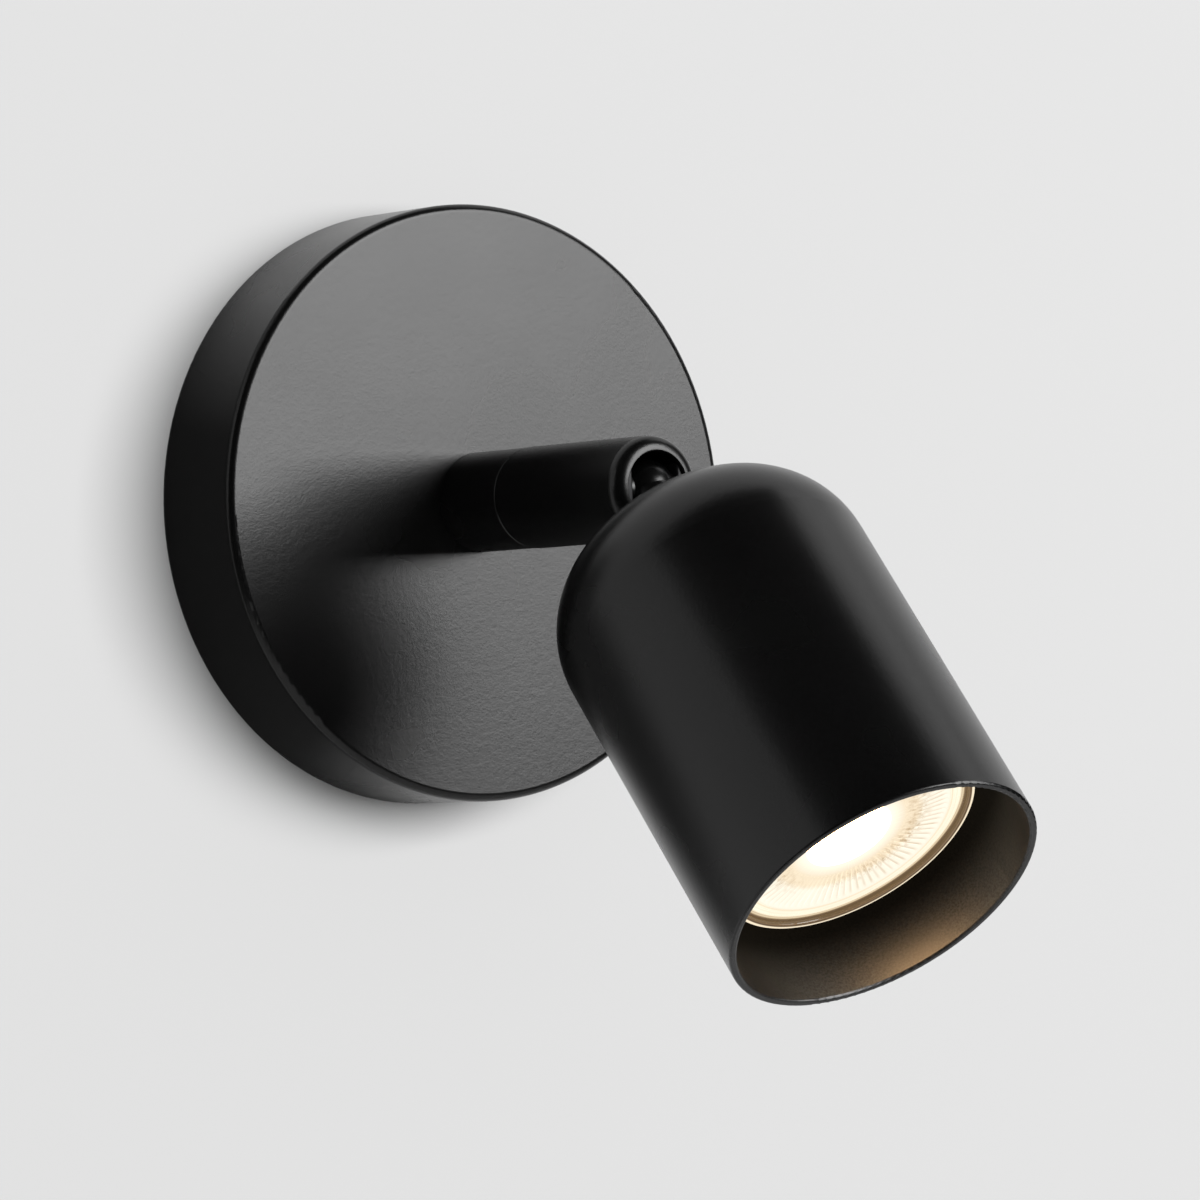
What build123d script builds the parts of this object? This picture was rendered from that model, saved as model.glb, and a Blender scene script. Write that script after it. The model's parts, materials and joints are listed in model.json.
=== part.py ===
from build123d import *
import os
from math import asin, cos, degrees, pi, radians, sin, sqrt, tan

# Pivoting spotlight wall light, in millimetres.
# The origin is the centre of the back plate on the wall. +X is to the right as seen from
# the room, +Z is up, and the stem stands out of the wall along -Y.
# "Out" is the distance from the wall. "Along" is the distance from the tilt pivot on the
# head's own axis, towards the mouth of the head.

# ---------------------------------------------------------------- driving dimensions
# clearances
thread_gap = 0.02          # radial, between a screw or nut and its mate in the same body
running_gap = 0.05         # radial, a shaft that turns in its hole
face_gap = 0.05            # between flat faces that slide on each other
loose_gap = 0.3            # between parts that pass each other and never touch

# back plate, a deep pressed cup
plate_diameter = 115.0
plate_depth = 22.9
plate_sheet = 1.2
plate_edge_radius = 1.6
plate_inner_edge = 0.4

# mounting bracket, a folded steel strap on the wall
strap_width = 26.0
strap_sheet = 1.5
strap_bend_radius = 1.0
tab_reach = 13.0
tab_corner_radius = 4.0
wall_slot_spacing = 80.0
wall_slot_length = 12.0
wall_slot_width = 4.6
cable_hole_radius = 5.0
cable_hole_drop = 14.0
side_screw_out = 8.0
side_screw_radius = 2.0
side_screw_socket = 1.1
side_screw_socket_depth = 2.0
side_screw_inner_reach = 1.0

# terminal block and earth point
pole_pitch = 9.0
pole_count = 3
barrel_radius = 3.6
barrel_length = 15.0
barrel_height = 4.4        # centre of the wire barrels above the strap
chimney_radius = 2.6
chimney_top = 12.0         # above the strap
chimney_spacing = 7.6
block_foot = 2.4
block_foot_length = 12.0
block_rise = 22.0          # above the centre of the plate
clamp_radius = 2.3
clamp_bore = 1.5
clamp_length = 13.0
clamp_screw_radius = 1.3
clamp_screw_sink = 1.2
clamp_screw_slot = 0.5
clamp_screw_slot_depth = 0.8
block_screw_radius = 1.5
block_screw_head_radius = 2.5
block_screw_head_height = 1.6
block_screw_slot = 0.6
block_screw_slot_depth = 0.8
block_post_radius = 2.7
earth_screw_side = 8.0
earth_screw_drop = 26.0
earth_screw_radius = 2.0
earth_screw_head_radius = 3.6
earth_screw_head_height = 2.4
earth_screw_head_edge = 0.6
earth_screw_cross = 3.2
earth_screw_cross_slot = 0.7
earth_screw_cross_depth = 1.2
screw_end_reach = 1.5      # how far a bracket screw reaches behind its strap
lug_sheet = 0.8
lug_ring_radius = 3.9
lug_barrel_radius = 1.7
lug_barrel_length = 5.0
lug_neck_length = 5.4

# leads
wire_radius = 0.8
wire_offset = 0.82         # each side of the middle of its sleeving
sleeving_radius = 1.95
sleeving_wall = 0.2
lead_rise_out = 8.0        # where the leads turn into the stem
lead_grip = 3.0            # end of each lead below the middle of the terminal block
lead_drop = 4.0            # straight stretch of each lead below its terminal
lead_joint_gap = 0.2       # between the ends of a lead at a joint, where the real one flexes
lead_end_setback = 1.0     # how far a lead's end stays inside the hole that grips it
lead_bend_share = 0.45     # of the shorter run beside a bend, taken up by its arc
lead_fan_start = 2.6       # past the end of the neck
lead_fan_end = 1.0         # before the back of the lampholder
lead_hole_gap = 0.4
sleeving_pivot_gap = 0.45

# stem: hollow threaded nipple, fixed collar and swivelling sleeve
nipple_radius = 5.0
nipple_bore = 3.5
nipple_tail = 1.4          # thread past the nut, inside the plate
nipple_tip = 0.7           # thread past the swivel nut
nipple_end_chamfer = 0.3
nipple_nut_flats = 14.0
nipple_nut_height = 4.0
nipple_washer_radius = 9.5
nipple_washer_sheet = 0.8
nipple_washer_teeth = 16
nipple_washer_notch = 1.0
nipple_washer_notch_depth = 0.7
stem_diameter = 19.4
collar_step = 0.1          # the collar's radius is this much smaller than the sleeve's
collar_length = 18.3
seam_gap = 0.3
stem_seam_edge = 0.3
thrust_washer_radius = 6.4
thrust_washer_height = 0.8
stop_pin_radius = 0.75
stop_pin_circle = 7.6
stop_pin_depth = 3.0
stop_pin_reach = 1.4
stop_travel = 170.0        # degrees each way
stop_play = 0.5            # degrees left at each stop
flange_thickness = 3.0
spring_sheet = 0.4
spring_rise = 0.5
swivel_nut_radius = 6.4
swivel_nut_height = 3.5
swivel_nut_slot = 1.4
swivel_nut_slot_depth = 1.7
sleeve_length = 38.9
sleeve_bore = 6.7
sleeve_end_radius = 2.6
sleeve_rim_edge = 0.25
pivot_setback = 4.0        # the tilt pivot lies this far inside the sleeve's open end

# tilt joint: fork in the sleeve, knuckle on the head
rest_tilt = 49.7           # degrees, from straight out towards straight down
knuckle_radius = 5.3
knuckle_flat = 4.4         # half the width over the knuckle's two flats
knuckle_flat_reach = 4.7   # the flats end this far in front of the pivot
neck_radius = 4.7
neck_bore = 2.3
spigot_radius = 4.0
cheek_face = 5.15          # half the width between the fork's cheeks
fork_base_height = 4.8
cheek_reach = 3.2          # past the pivot
cheek_edge_radius = 0.4
fork_screw_radius = 1.5
fork_screw_length = 3.7
fork_screw_sink = 0.3
fork_screw_socket = 0.75
fork_screw_socket_depth = 1.6
pin_radius = 1.2
tilt_washer_radius = 2.85
slot_clearance = 0.3       # each side of the neck

# head shell
head_diameter = 61.2
head_wall = 1.5
head_standoff = 10.2       # pivot to the top of the dome
dome_height = 21.0
crown_radius = 52.0
dome_seat_radius = 9.8
lip_radius = 0.45

# what the neck clamps inside the dome
spigot_tip = 0.7
lead_room = 7.1            # from the end of the neck to the lampholder
neck_nut_flats = 11.0
neck_nut_height = 3.0
neck_washer_radius = 5.6
neck_washer_sheet = 0.6
neck_washer_teeth = 12
neck_washer_notch = 0.8
neck_washer_notch_depth = 0.5
bracket_sheet = 1.0
bracket_width = 11.0
bracket_leg = 7.6          # outer face of each leg, from the axis
bracket_foot = 13.0        # end of each foot, from the axis

# twist-lock lampholder
holder_radius = 14.0
holder_length = 15.0
holder_edge = 1.0
holder_screw_circle = 10.4
holder_screw_radius = 1.5
holder_screw_depth = 5.0
holder_screw_head_radius = 2.4
holder_screw_head_height = 1.6
holder_screw_cross = 2.6
holder_screw_cross_slot = 0.6
holder_screw_cross_depth = 0.8
holder_face_plate = 1.7
pin_circle = 5.0
lamp_pin_radius = 2.5
lamp_pin_shank = 1.5
lamp_pin_length = 6.8
pin_play = 0.25
twist_angle = 20.0
contact_width = 4.6
contact_length = 6.4
contact_shift = 1.6        # towards the way the pin turns in
contact_sheet = 0.6
contact_post = 2.6
contact_rear_wall = 2.0
contact_grip = 4.0

# reflector lamp
lamp_diameter = 50.0
lamp_body_length = 47.2    # without its pins
lamp_recess = 13.5         # face of the lamp behind the mouth
lamp_base_radius = 13.8
lamp_base_length = 9.0
lamp_seat_gap = 0.1
lamp_rim_length = 3.2
lamp_glass = 1.3
lamp_edge = 0.5
lens_sink = 0.9
lens_thickness = 1.6
lens_dome_radius = 10.4
lens_dome_rise = 0.7
lens_ring_width = 1.4
led_board_radius = 12.6
led_board_sheet = 1.6
emitter_radius = 5.0
emitter_height = 1.8
emitter_edge_radius = 1.0
heat_sink_radius = 10.0
heat_sink_hub_radius = 6.0
heat_sink_length = 8.3
heat_sink_fins = 12
heat_sink_fin_sheet = 1.0

# ---------------------------------------------------------------- worked-out places
plate_radius = plate_diameter / 2
plate_inner_radius = plate_radius - plate_sheet
tab_outer = sqrt(plate_inner_radius**2 - (strap_width / 2) ** 2) - loose_gap
fold_start = tab_outer - strap_sheet - strap_bend_radius

stem_radius = stem_diameter / 2
collar_radius = stem_radius - collar_step
seam_out = plate_depth + collar_length
sleeve_start = seam_out + seam_gap
sleeve_end = sleeve_start + sleeve_length
flange_top = sleeve_start + flange_thickness
spring_top = flange_top + face_gap + spring_sheet + spring_rise
swivel_nut_top = spring_top + swivel_nut_height
nipple_end = swivel_nut_top + nipple_tip
washer_back = plate_depth - plate_sheet - nipple_washer_sheet
nut_back = washer_back - nipple_nut_height
nipple_start = nut_back - nipple_tail
pivot_out = sleeve_end - pivot_setback
fork_front_of_base = pivot_out - knuckle_radius - loose_gap
fork_start = fork_front_of_base - fork_base_height
slot_half_width = neck_radius + slot_clearance

head_radius = head_diameter / 2
shoulder_along = head_standoff + dome_height
seat_along = head_standoff + head_wall
# the crown and corner arcs meet in a common tangent, crown_lean degrees from the axis
crown_centre = head_standoff + sqrt(crown_radius**2 - dome_seat_radius**2)
full_height = shoulder_along - crown_centre + crown_radius
corner_radius = (2 * full_height * crown_radius - head_radius**2 - full_height**2) / (
    2 * (crown_radius - head_radius)
)
corner_centre = head_radius - corner_radius
crown_lean = degrees(asin(corner_centre / (crown_radius - corner_radius)))
web_top = seat_along + bracket_sheet
neck_washer_top = web_top + neck_washer_sheet
neck_nut_top = neck_washer_top + neck_nut_height
spigot_end = neck_nut_top + spigot_tip
holder_back = spigot_end + lead_room
holder_front = holder_back + holder_length
lamp_base_start = holder_front + lamp_seat_gap
lamp_face = lamp_base_start + lamp_body_length
mouth_along = lamp_face + lamp_recess
pin_end = lamp_base_start - lamp_pin_length
contact_front = pin_end - face_gap

# ---------------------------------------------------------------- planes and axes
tilt = radians(rest_tilt)
pivot = Vector(0, -pivot_out, 0)
head_direction = Vector(0, -cos(tilt), -sin(tilt))
stem_axis = Axis((0, 0, 0), (0, -1, 0))
head_axis = Axis(pivot, head_direction)

# profile planes: local x is the radius, local y runs out of the wall or along the head
stem_profile = Plane(origin=(0, 0, 0), x_dir=(1, 0, 0), z_dir=(0, 0, -1))
head_profile = Plane(origin=pivot, x_dir=(1, 0, 0), z_dir=(0, sin(tilt), -cos(tilt)))
# side planes, normal to X: local x runs out of the wall or along the head
stem_side = Plane(origin=(0, 0, 0), x_dir=(0, -1, 0), z_dir=(1, 0, 0))
head_side = Plane(origin=pivot, x_dir=head_direction, z_dir=(1, 0, 0))


def wall_level(out):
    """Plane parallel to the wall, facing the room, at a distance from the wall."""
    return Plane(origin=(0, -out, 0), x_dir=(1, 0, 0), z_dir=(0, -1, 0))


def upward_level(out, height=0, side=0):
    """Level plane that faces up, with its own origin out from the wall."""
    return Plane(origin=(side, -out, height), x_dir=(1, 0, 0), z_dir=(0, 0, 1))


def downward_level(out, drop=0):
    """Level plane that faces down, a drop below the stem's axis."""
    return Plane(origin=(0, -out, -drop), x_dir=(1, 0, 0), z_dir=(0, 0, -1))


def head_level(along):
    """Plane square to the head's axis, facing the mouth, at a distance from the pivot."""
    return Plane(origin=pivot + head_direction * along, x_dir=(1, 0, 0), z_dir=head_direction)


def ring_profile(inner, outer, low, high):
    """Rectangular section of a ring, drawn in the open sketch of a profile plane."""
    with Locations(((inner + outer) / 2, (low + high) / 2)):
        Rectangle(outer - inner, high - low)


def head_point(side, along):
    """Point at a distance to the side of the head's axis and along it."""
    return pivot + head_direction * along + Vector(side, 0, 0)


def bend_radii(points):
    """Radius of each bend of a lead: as large as the two straight runs beside it allow."""
    radii = []
    for before, corner, after in zip(points, points[1:], points[2:]):
        run_in = corner - before
        run_out = after - corner
        turn = radians(run_in.get_angle(run_out))
        radii.append(lead_bend_share * min(run_in.length, run_out.length) / tan(turn / 2))
    print("bend radii", [round(radius, 2) for radius in radii])
    return radii


def head_outline(shrink):
    """Closed half-section of the head's outer form, shrunk by the wall.

    A flat seat, a shallow crown arc, a corner arc tangent to it and a straight side.
    """
    level = head_standoff + shrink
    crown = crown_radius - shrink
    side = head_radius - shrink
    seat = sqrt(crown**2 - (crown_centre - level) ** 2)
    seat_lean = degrees(asin(seat / crown))
    CenterArc((0, crown_centre), crown, seat_lean - 90, crown_lean - seat_lean)
    CenterArc((corner_centre, shoulder_along), corner_radius - shrink, crown_lean - 90, 90 - crown_lean)
    Polyline((side, shoulder_along), (side, mouth_along), (0, mouth_along), (0, level), (seat, level))


os.makedirs("parts", exist_ok=True)

# ---------------------------------------------------------------- back plate and bracket
with BuildPart() as back_plate:
    with BuildSketch(stem_profile):
        ring_profile(nipple_radius + 2 * thread_gap, plate_radius, plate_depth - plate_sheet, plate_depth)
        ring_profile(plate_inner_radius, plate_radius, 0, plate_depth)
    revolve(axis=stem_axis)
    rim = back_plate.edges().filter_by(GeomType.CIRCLE).group_by(Axis.Y)[0].sort_by(SortBy.RADIUS)[-1]
    fillet(rim, plate_edge_radius)
    bend = back_plate.edges().filter_by(GeomType.CIRCLE).filter_by(
        lambda e: abs(e.radius - plate_inner_radius) < 0.01 and e.center().Y < -1
    )
    fillet(bend, plate_inner_edge)
    with BuildSketch(upward_level(side_screw_out)):
        Circle(side_screw_radius + loose_gap)
    extrude(amount=plate_radius, both=True, mode=Mode.SUBTRACT)

# the strap and its two folded ends make one sheet, kept as two pieces that meet at the folds
with BuildPart() as folded_strap:
    with BuildSketch(stem_side):
        with Locations((tab_reach / 2, 0)):
            Rectangle(tab_reach, 2 * tab_outer)
        with Locations((strap_sheet + tab_reach / 2, 0)):
            Rectangle(tab_reach, 2 * (tab_outer - strap_sheet), mode=Mode.SUBTRACT)
    extrude(amount=strap_width / 2, both=True)
    folds = folded_strap.edges().filter_by(Axis.X)
    inner_folds = folds.filter_by(lambda e: abs(e.center().Y + strap_sheet) < 0.01)
    fillet(inner_folds, strap_bend_radius)
    outer_folds = folded_strap.edges().filter_by(Axis.X).filter_by(
        lambda e: abs(e.center().Y) < 0.01 and abs(abs(e.center().Z) - tab_outer) < 0.01
    )
    fillet(outer_folds, strap_bend_radius + strap_sheet / 2)
    tab_corners = folded_strap.edges().filter_by(Axis.Z).group_by(Axis.Y)[0]
    fillet(tab_corners, tab_corner_radius)
    with BuildSketch(wall_level(0)):
        with GridLocations(0, wall_slot_spacing, 1, 2):
            SlotOverall(wall_slot_length, wall_slot_width, rotation=90)
        with Locations((0, -cable_hole_drop)):
            Circle(cable_hole_radius)
        with Locations((pole_pitch / 2, block_rise)):
            Circle(block_screw_radius + thread_gap)
        with Locations((earth_screw_side, -earth_screw_drop)):
            Circle(earth_screw_radius + thread_gap)
    extrude(amount=strap_sheet, mode=Mode.SUBTRACT)
    with BuildSketch(upward_level(side_screw_out)):
        Circle(side_screw_radius + thread_gap)
    extrude(amount=plate_radius, both=True, mode=Mode.SUBTRACT)

with BuildPart() as mounting_bracket:
    add(folded_strap.part)
    with BuildSketch(wall_level(0)):
        Rectangle(strap_width, 2 * fold_start)
    extrude(amount=tab_reach, mode=Mode.INTERSECT)

with BuildPart() as bracket_tabs:
    add(folded_strap.part)
    with BuildSketch(wall_level(0)):
        Rectangle(strap_width, 2 * fold_start)
    extrude(amount=tab_reach, mode=Mode.SUBTRACT)

side_screw_tip = plate_radius - loose_gap
side_screw_back = tab_outer - strap_sheet - side_screw_inner_reach
with BuildPart() as plate_screws:
    with BuildSketch(upward_level(side_screw_out, side_screw_back)):
        Circle(side_screw_radius)
    extrude(amount=side_screw_tip - side_screw_back)
    socket_level = side_screw_tip - side_screw_socket_depth
    with BuildSketch(upward_level(side_screw_out, socket_level)):
        RegularPolygon(side_screw_socket, 6)
    extrude(amount=side_screw_socket_depth, mode=Mode.SUBTRACT)
    mirror(about=Plane.XY)

# ---------------------------------------------------------------- terminal block
pole_centres = [(number - (pole_count - 1) / 2) * pole_pitch for number in range(pole_count)]
barrel_out = strap_sheet + barrel_height
block_width = (pole_count - 1) * pole_pitch
with BuildPart() as terminal_block:
    with BuildSketch(wall_level(strap_sheet)):
        with Locations((0, block_rise)):
            Rectangle(block_width, block_foot_length)
    extrude(amount=block_foot)
    with BuildSketch(upward_level(barrel_out, block_rise)):
        with GridLocations(pole_pitch, 0, pole_count, 1):
            Circle(barrel_radius)
    extrude(amount=barrel_length / 2, both=True)
    with BuildSketch(wall_level(barrel_out)):
        with Locations((0, block_rise)):
            with GridLocations(pole_pitch, chimney_spacing, pole_count, 2):
                Circle(chimney_radius)
    extrude(amount=strap_sheet + chimney_top - barrel_out)
    with BuildSketch(wall_level(strap_sheet)):
        with Locations((pole_pitch / 2, block_rise)):
            Circle(block_post_radius)
    extrude(amount=barrel_height + barrel_radius)
    with BuildSketch(upward_level(barrel_out, block_rise)):
        with GridLocations(pole_pitch, 0, pole_count, 1):
            Circle(clamp_radius + thread_gap)
    extrude(amount=barrel_length, both=True, mode=Mode.SUBTRACT)
    with BuildSketch(wall_level(barrel_out)):
        with Locations((0, block_rise)):
            with GridLocations(pole_pitch, chimney_spacing, pole_count, 2):
                Circle(clamp_screw_radius + 2 * thread_gap)
    extrude(amount=chimney_top, mode=Mode.SUBTRACT)
    with BuildSketch(wall_level(0)):
        with Locations((pole_pitch / 2, block_rise)):
            Circle(block_screw_radius + 2 * thread_gap)
    extrude(amount=chimney_top + strap_sheet, mode=Mode.SUBTRACT)

with BuildPart() as terminal_clamps:
    with BuildSketch(upward_level(barrel_out, block_rise)):
        with GridLocations(pole_pitch, 0, pole_count, 1):
            Circle(clamp_radius)
            Circle(clamp_bore, mode=Mode.SUBTRACT)
    extrude(amount=clamp_length / 2, both=True)
    with BuildSketch(wall_level(barrel_out)):
        with Locations((0, block_rise)):
            with GridLocations(pole_pitch, chimney_spacing, pole_count, 2):
                Circle(clamp_screw_radius + thread_gap)
    extrude(amount=chimney_top, mode=Mode.SUBTRACT)

clamp_screw_top = strap_sheet + chimney_top - clamp_screw_sink
clamp_screw_foot = barrel_out + wire_radius + face_gap
with BuildPart() as terminal_screws:
    with BuildSketch(wall_level(clamp_screw_foot)):
        with Locations((0, block_rise)):
            with GridLocations(pole_pitch, chimney_spacing, pole_count, 2):
                Circle(clamp_screw_radius)
    extrude(amount=clamp_screw_top - clamp_screw_foot)
    with BuildSketch(wall_level(clamp_screw_top)):
        with Locations((0, block_rise)):
            with GridLocations(pole_pitch, chimney_spacing, pole_count, 2):
                Rectangle(2 * clamp_screw_radius, clamp_screw_slot)
    extrude(amount=-clamp_screw_slot_depth, mode=Mode.SUBTRACT)

block_post_top = strap_sheet + barrel_height + barrel_radius
with BuildPart() as block_screw:
    with BuildSketch(wall_level(-screw_end_reach + strap_sheet)):
        with Locations((pole_pitch / 2, block_rise)):
            Circle(block_screw_radius)
    extrude(amount=block_post_top + screw_end_reach - strap_sheet)
    with BuildSketch(wall_level(block_post_top)):
        with Locations((pole_pitch / 2, block_rise)):
            Circle(block_screw_head_radius)
    extrude(amount=block_screw_head_height)
    with BuildSketch(wall_level(block_post_top + block_screw_head_height)):
        with Locations((pole_pitch / 2, block_rise)):
            Rectangle(2 * block_screw_head_radius, block_screw_slot)
    extrude(amount=-block_screw_slot_depth, mode=Mode.SUBTRACT)

# ---------------------------------------------------------------- earth point
lug_top = strap_sheet + lug_sheet
lug_barrel_start = -earth_screw_drop + lug_neck_length
lug_barrel_out = strap_sheet + lug_barrel_radius
with BuildPart() as earth_lug:
    with BuildSketch(wall_level(strap_sheet)):
        with Locations((earth_screw_side, -earth_screw_drop)):
            Circle(lug_ring_radius)
        with Locations((earth_screw_side, -earth_screw_drop + lug_neck_length / 2)):
            Rectangle(2 * lug_barrel_radius, lug_neck_length)
        with Locations((earth_screw_side, -earth_screw_drop)):
            Circle(earth_screw_radius + 2 * thread_gap, mode=Mode.SUBTRACT)
    extrude(amount=lug_sheet)
    with BuildSketch(upward_level(lug_barrel_out, lug_barrel_start, earth_screw_side)):
        Circle(lug_barrel_radius)
        Circle(wire_radius + thread_gap, mode=Mode.SUBTRACT)
    extrude(amount=lug_barrel_length)

with BuildPart() as earth_screw:
    with BuildSketch(wall_level(0)):
        with Locations((earth_screw_side, -earth_screw_drop)):
            Circle(earth_screw_radius)
    extrude(amount=lug_top)
    with BuildSketch(wall_level(lug_top)):
        with Locations((earth_screw_side, -earth_screw_drop)):
            Circle(earth_screw_head_radius)
    extrude(amount=earth_screw_head_height)
    fillet(earth_screw.edges().group_by(Axis.Y)[0], earth_screw_head_edge)
    with BuildSketch(wall_level(lug_top + earth_screw_head_height)):
        with Locations((earth_screw_side, -earth_screw_drop)):
            Rectangle(earth_screw_cross, earth_screw_cross_slot)
            Rectangle(earth_screw_cross_slot, earth_screw_cross)
    extrude(amount=-earth_screw_cross_depth, mode=Mode.SUBTRACT)

# ---------------------------------------------------------------- nipple, nut, collar
with BuildPart() as stem_nipple:
    with BuildSketch(stem_profile):
        ring_profile(nipple_bore, nipple_radius, nipple_start, nipple_end)
    revolve(axis=stem_axis)
    chamfer(stem_nipple.edges().filter_by(GeomType.CIRCLE), nipple_end_chamfer)

with BuildPart() as nipple_washer:
    with BuildSketch(wall_level(washer_back)):
        Circle(nipple_washer_radius)
        with PolarLocations(nipple_washer_radius, nipple_washer_teeth):
            Rectangle(2 * nipple_washer_notch_depth, nipple_washer_notch, mode=Mode.SUBTRACT)
        Circle(nipple_radius + thread_gap, mode=Mode.SUBTRACT)
    extrude(amount=nipple_washer_sheet)

with BuildPart() as nipple_nut:
    with BuildSketch(wall_level(nut_back)):
        RegularPolygon(nipple_nut_flats / 2, 6, major_radius=False)
        Circle(nipple_radius + thread_gap, mode=Mode.SUBTRACT)
    extrude(amount=nipple_nut_height)

recess_radius = thrust_washer_radius + loose_gap / 2
recess_depth = thrust_washer_height - seam_gap + face_gap
with BuildPart() as stem_collar:
    with BuildSketch(stem_profile):
        ring_profile(nipple_radius + thread_gap, collar_radius, plate_depth, seam_out)
    revolve(axis=stem_axis)
    ends = stem_collar.edges().filter_by(GeomType.CIRCLE).sort_by(SortBy.RADIUS)[-2:]
    fillet(ends, stem_seam_edge)
    with BuildSketch(wall_level(seam_out)):
        Circle(recess_radius)
        Circle(nipple_radius + thread_gap, mode=Mode.SUBTRACT)
    extrude(amount=-recess_depth, mode=Mode.SUBTRACT)
    with BuildSketch(wall_level(seam_out)):
        with Locations((0, stop_pin_circle)):
            Circle(stop_pin_radius + thread_gap)
    extrude(amount=-stop_pin_depth, mode=Mode.SUBTRACT)

with BuildPart() as stop_pin:
    with BuildSketch(wall_level(seam_out - stop_pin_depth)):
        with Locations((0, stop_pin_circle)):
            Circle(stop_pin_radius)
    extrude(amount=stop_pin_depth + seam_gap + stop_pin_reach)

with BuildPart() as swivel_washer:
    with BuildSketch(stem_profile):
        washer_back_face = seam_out - recess_depth
        washer_front_face = sleeve_start - face_gap
        ring_profile(nipple_radius + running_gap, thrust_washer_radius, washer_back_face, washer_front_face)
    revolve(axis=stem_axis)

with BuildPart() as swivel_spring:
    with BuildSketch(stem_profile):
        with BuildLine():
            spring_low = flange_top + face_gap
            Polyline(
                (nipple_radius + running_gap, spring_low + spring_rise),
                (nipple_radius + running_gap, spring_low + spring_rise + spring_sheet),
                (swivel_nut_radius, spring_low + spring_sheet),
                (swivel_nut_radius, spring_low),
                close=True,
            )
        make_face()
    revolve(axis=stem_axis)

with BuildPart() as swivel_nut:
    with BuildSketch(wall_level(spring_top)):
        Circle(swivel_nut_radius)
        Circle(nipple_radius + thread_gap, mode=Mode.SUBTRACT)
    extrude(amount=swivel_nut_height)
    with BuildSketch(wall_level(swivel_nut_top)):
        Rectangle(3 * swivel_nut_radius, swivel_nut_slot)
        Circle(nipple_radius, mode=Mode.SUBTRACT)
    extrude(amount=-swivel_nut_slot_depth, mode=Mode.SUBTRACT)

# ---------------------------------------------------------------- swivelling sleeve
groove_inner = stop_pin_circle - stop_pin_radius - loose_gap
groove_outer = stop_pin_circle + stop_pin_radius + loose_gap
web_half_angle = 180 - stop_travel - degrees(asin(stop_pin_radius / stop_pin_circle)) - stop_play
web_width = 2 * stop_pin_circle * sin(radians(web_half_angle))
with BuildPart() as stem_sleeve:
    with BuildSketch(stem_profile):
        ring_profile(nipple_radius + running_gap, stem_radius, sleeve_start, flange_top)
        ring_profile(sleeve_bore, stem_radius, sleeve_start, sleeve_end)
    revolve(axis=stem_axis)
    open_end = stem_sleeve.edges().filter_by(GeomType.CIRCLE).group_by(Axis.Y)[0]
    fillet(open_end.sort_by(SortBy.RADIUS)[-1], sleeve_end_radius)
    open_end = stem_sleeve.edges().filter_by(GeomType.CIRCLE).group_by(Axis.Y)[0]
    chamfer(open_end.sort_by(SortBy.RADIUS)[0], sleeve_rim_edge)
    seam_end = stem_sleeve.edges().filter_by(GeomType.CIRCLE).group_by(Axis.Y)[-1]
    fillet(seam_end.sort_by(SortBy.RADIUS)[-1], stem_seam_edge)
    with BuildSketch(wall_level(sleeve_start)):
        Circle(groove_outer)
        Circle(groove_inner, mode=Mode.SUBTRACT)
        with Locations((0, -stop_pin_circle)):
            Rectangle(web_width, 4 * stop_pin_radius, mode=Mode.SUBTRACT)
    extrude(amount=stop_pin_reach + loose_gap, mode=Mode.SUBTRACT)
    with BuildSketch(downward_level(pivot_out)):
        Circle(slot_half_width)
        with Locations((0, stem_radius)):
            Rectangle(2 * slot_half_width, 2 * stem_radius)
    extrude(amount=stem_radius, mode=Mode.SUBTRACT)
    fork_screw_out = fork_start + fork_base_height / 2
    with BuildSketch(downward_level(fork_screw_out)):
        Circle(fork_screw_radius)
    extrude(amount=stem_radius, mode=Mode.SUBTRACT)

fork_radius = sleeve_bore - 2 * thread_gap
cheek_end = pivot_out + cheek_reach
screw_outer_end = stem_radius - fork_screw_sink
screw_inner_end = screw_outer_end - fork_screw_length
with BuildPart() as tilt_fork:
    with BuildSketch(wall_level(fork_start)):
        Circle(fork_radius)
        Circle(neck_bore, mode=Mode.SUBTRACT)
    extrude(amount=cheek_end - fork_start)
    with BuildSketch(wall_level(fork_front_of_base)):
        Rectangle(2 * cheek_face, 2 * sleeve_bore)
    extrude(amount=cheek_end - fork_front_of_base, mode=Mode.SUBTRACT)
    corner_cuts = tilt_fork.edges().filter_by(GeomType.LINE).filter_by(Axis.Z).group_by(Axis.Y)[0]
    fillet(corner_cuts, cheek_edge_radius)
    with BuildSketch(stem_side):
        with Locations((pivot_out, 0)):
            Circle(pin_radius + thread_gap)
    extrude(amount=sleeve_bore, both=True, mode=Mode.SUBTRACT)
    with BuildSketch(downward_level(fork_screw_out, screw_inner_end)):
        Circle(fork_screw_radius)
    extrude(amount=sleeve_bore, mode=Mode.SUBTRACT)

with BuildPart() as fork_screw:
    with BuildSketch(downward_level(fork_screw_out, screw_inner_end)):
        Circle(fork_screw_radius - thread_gap)
    extrude(amount=fork_screw_length)
    with BuildSketch(upward_level(fork_screw_out, -screw_outer_end)):
        RegularPolygon(fork_screw_socket, 6)
    extrude(amount=fork_screw_socket_depth, mode=Mode.SUBTRACT)

pin_start = neck_bore + 2 * thread_gap
with BuildPart() as tilt_pins:
    with BuildSketch(Plane(origin=(pin_start, -pivot_out, 0), x_dir=(0, 1, 0), z_dir=(1, 0, 0))):
        Circle(pin_radius)
    extrude(amount=fork_radius - loose_gap - pin_start)
    mirror(about=Plane.YZ)

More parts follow.
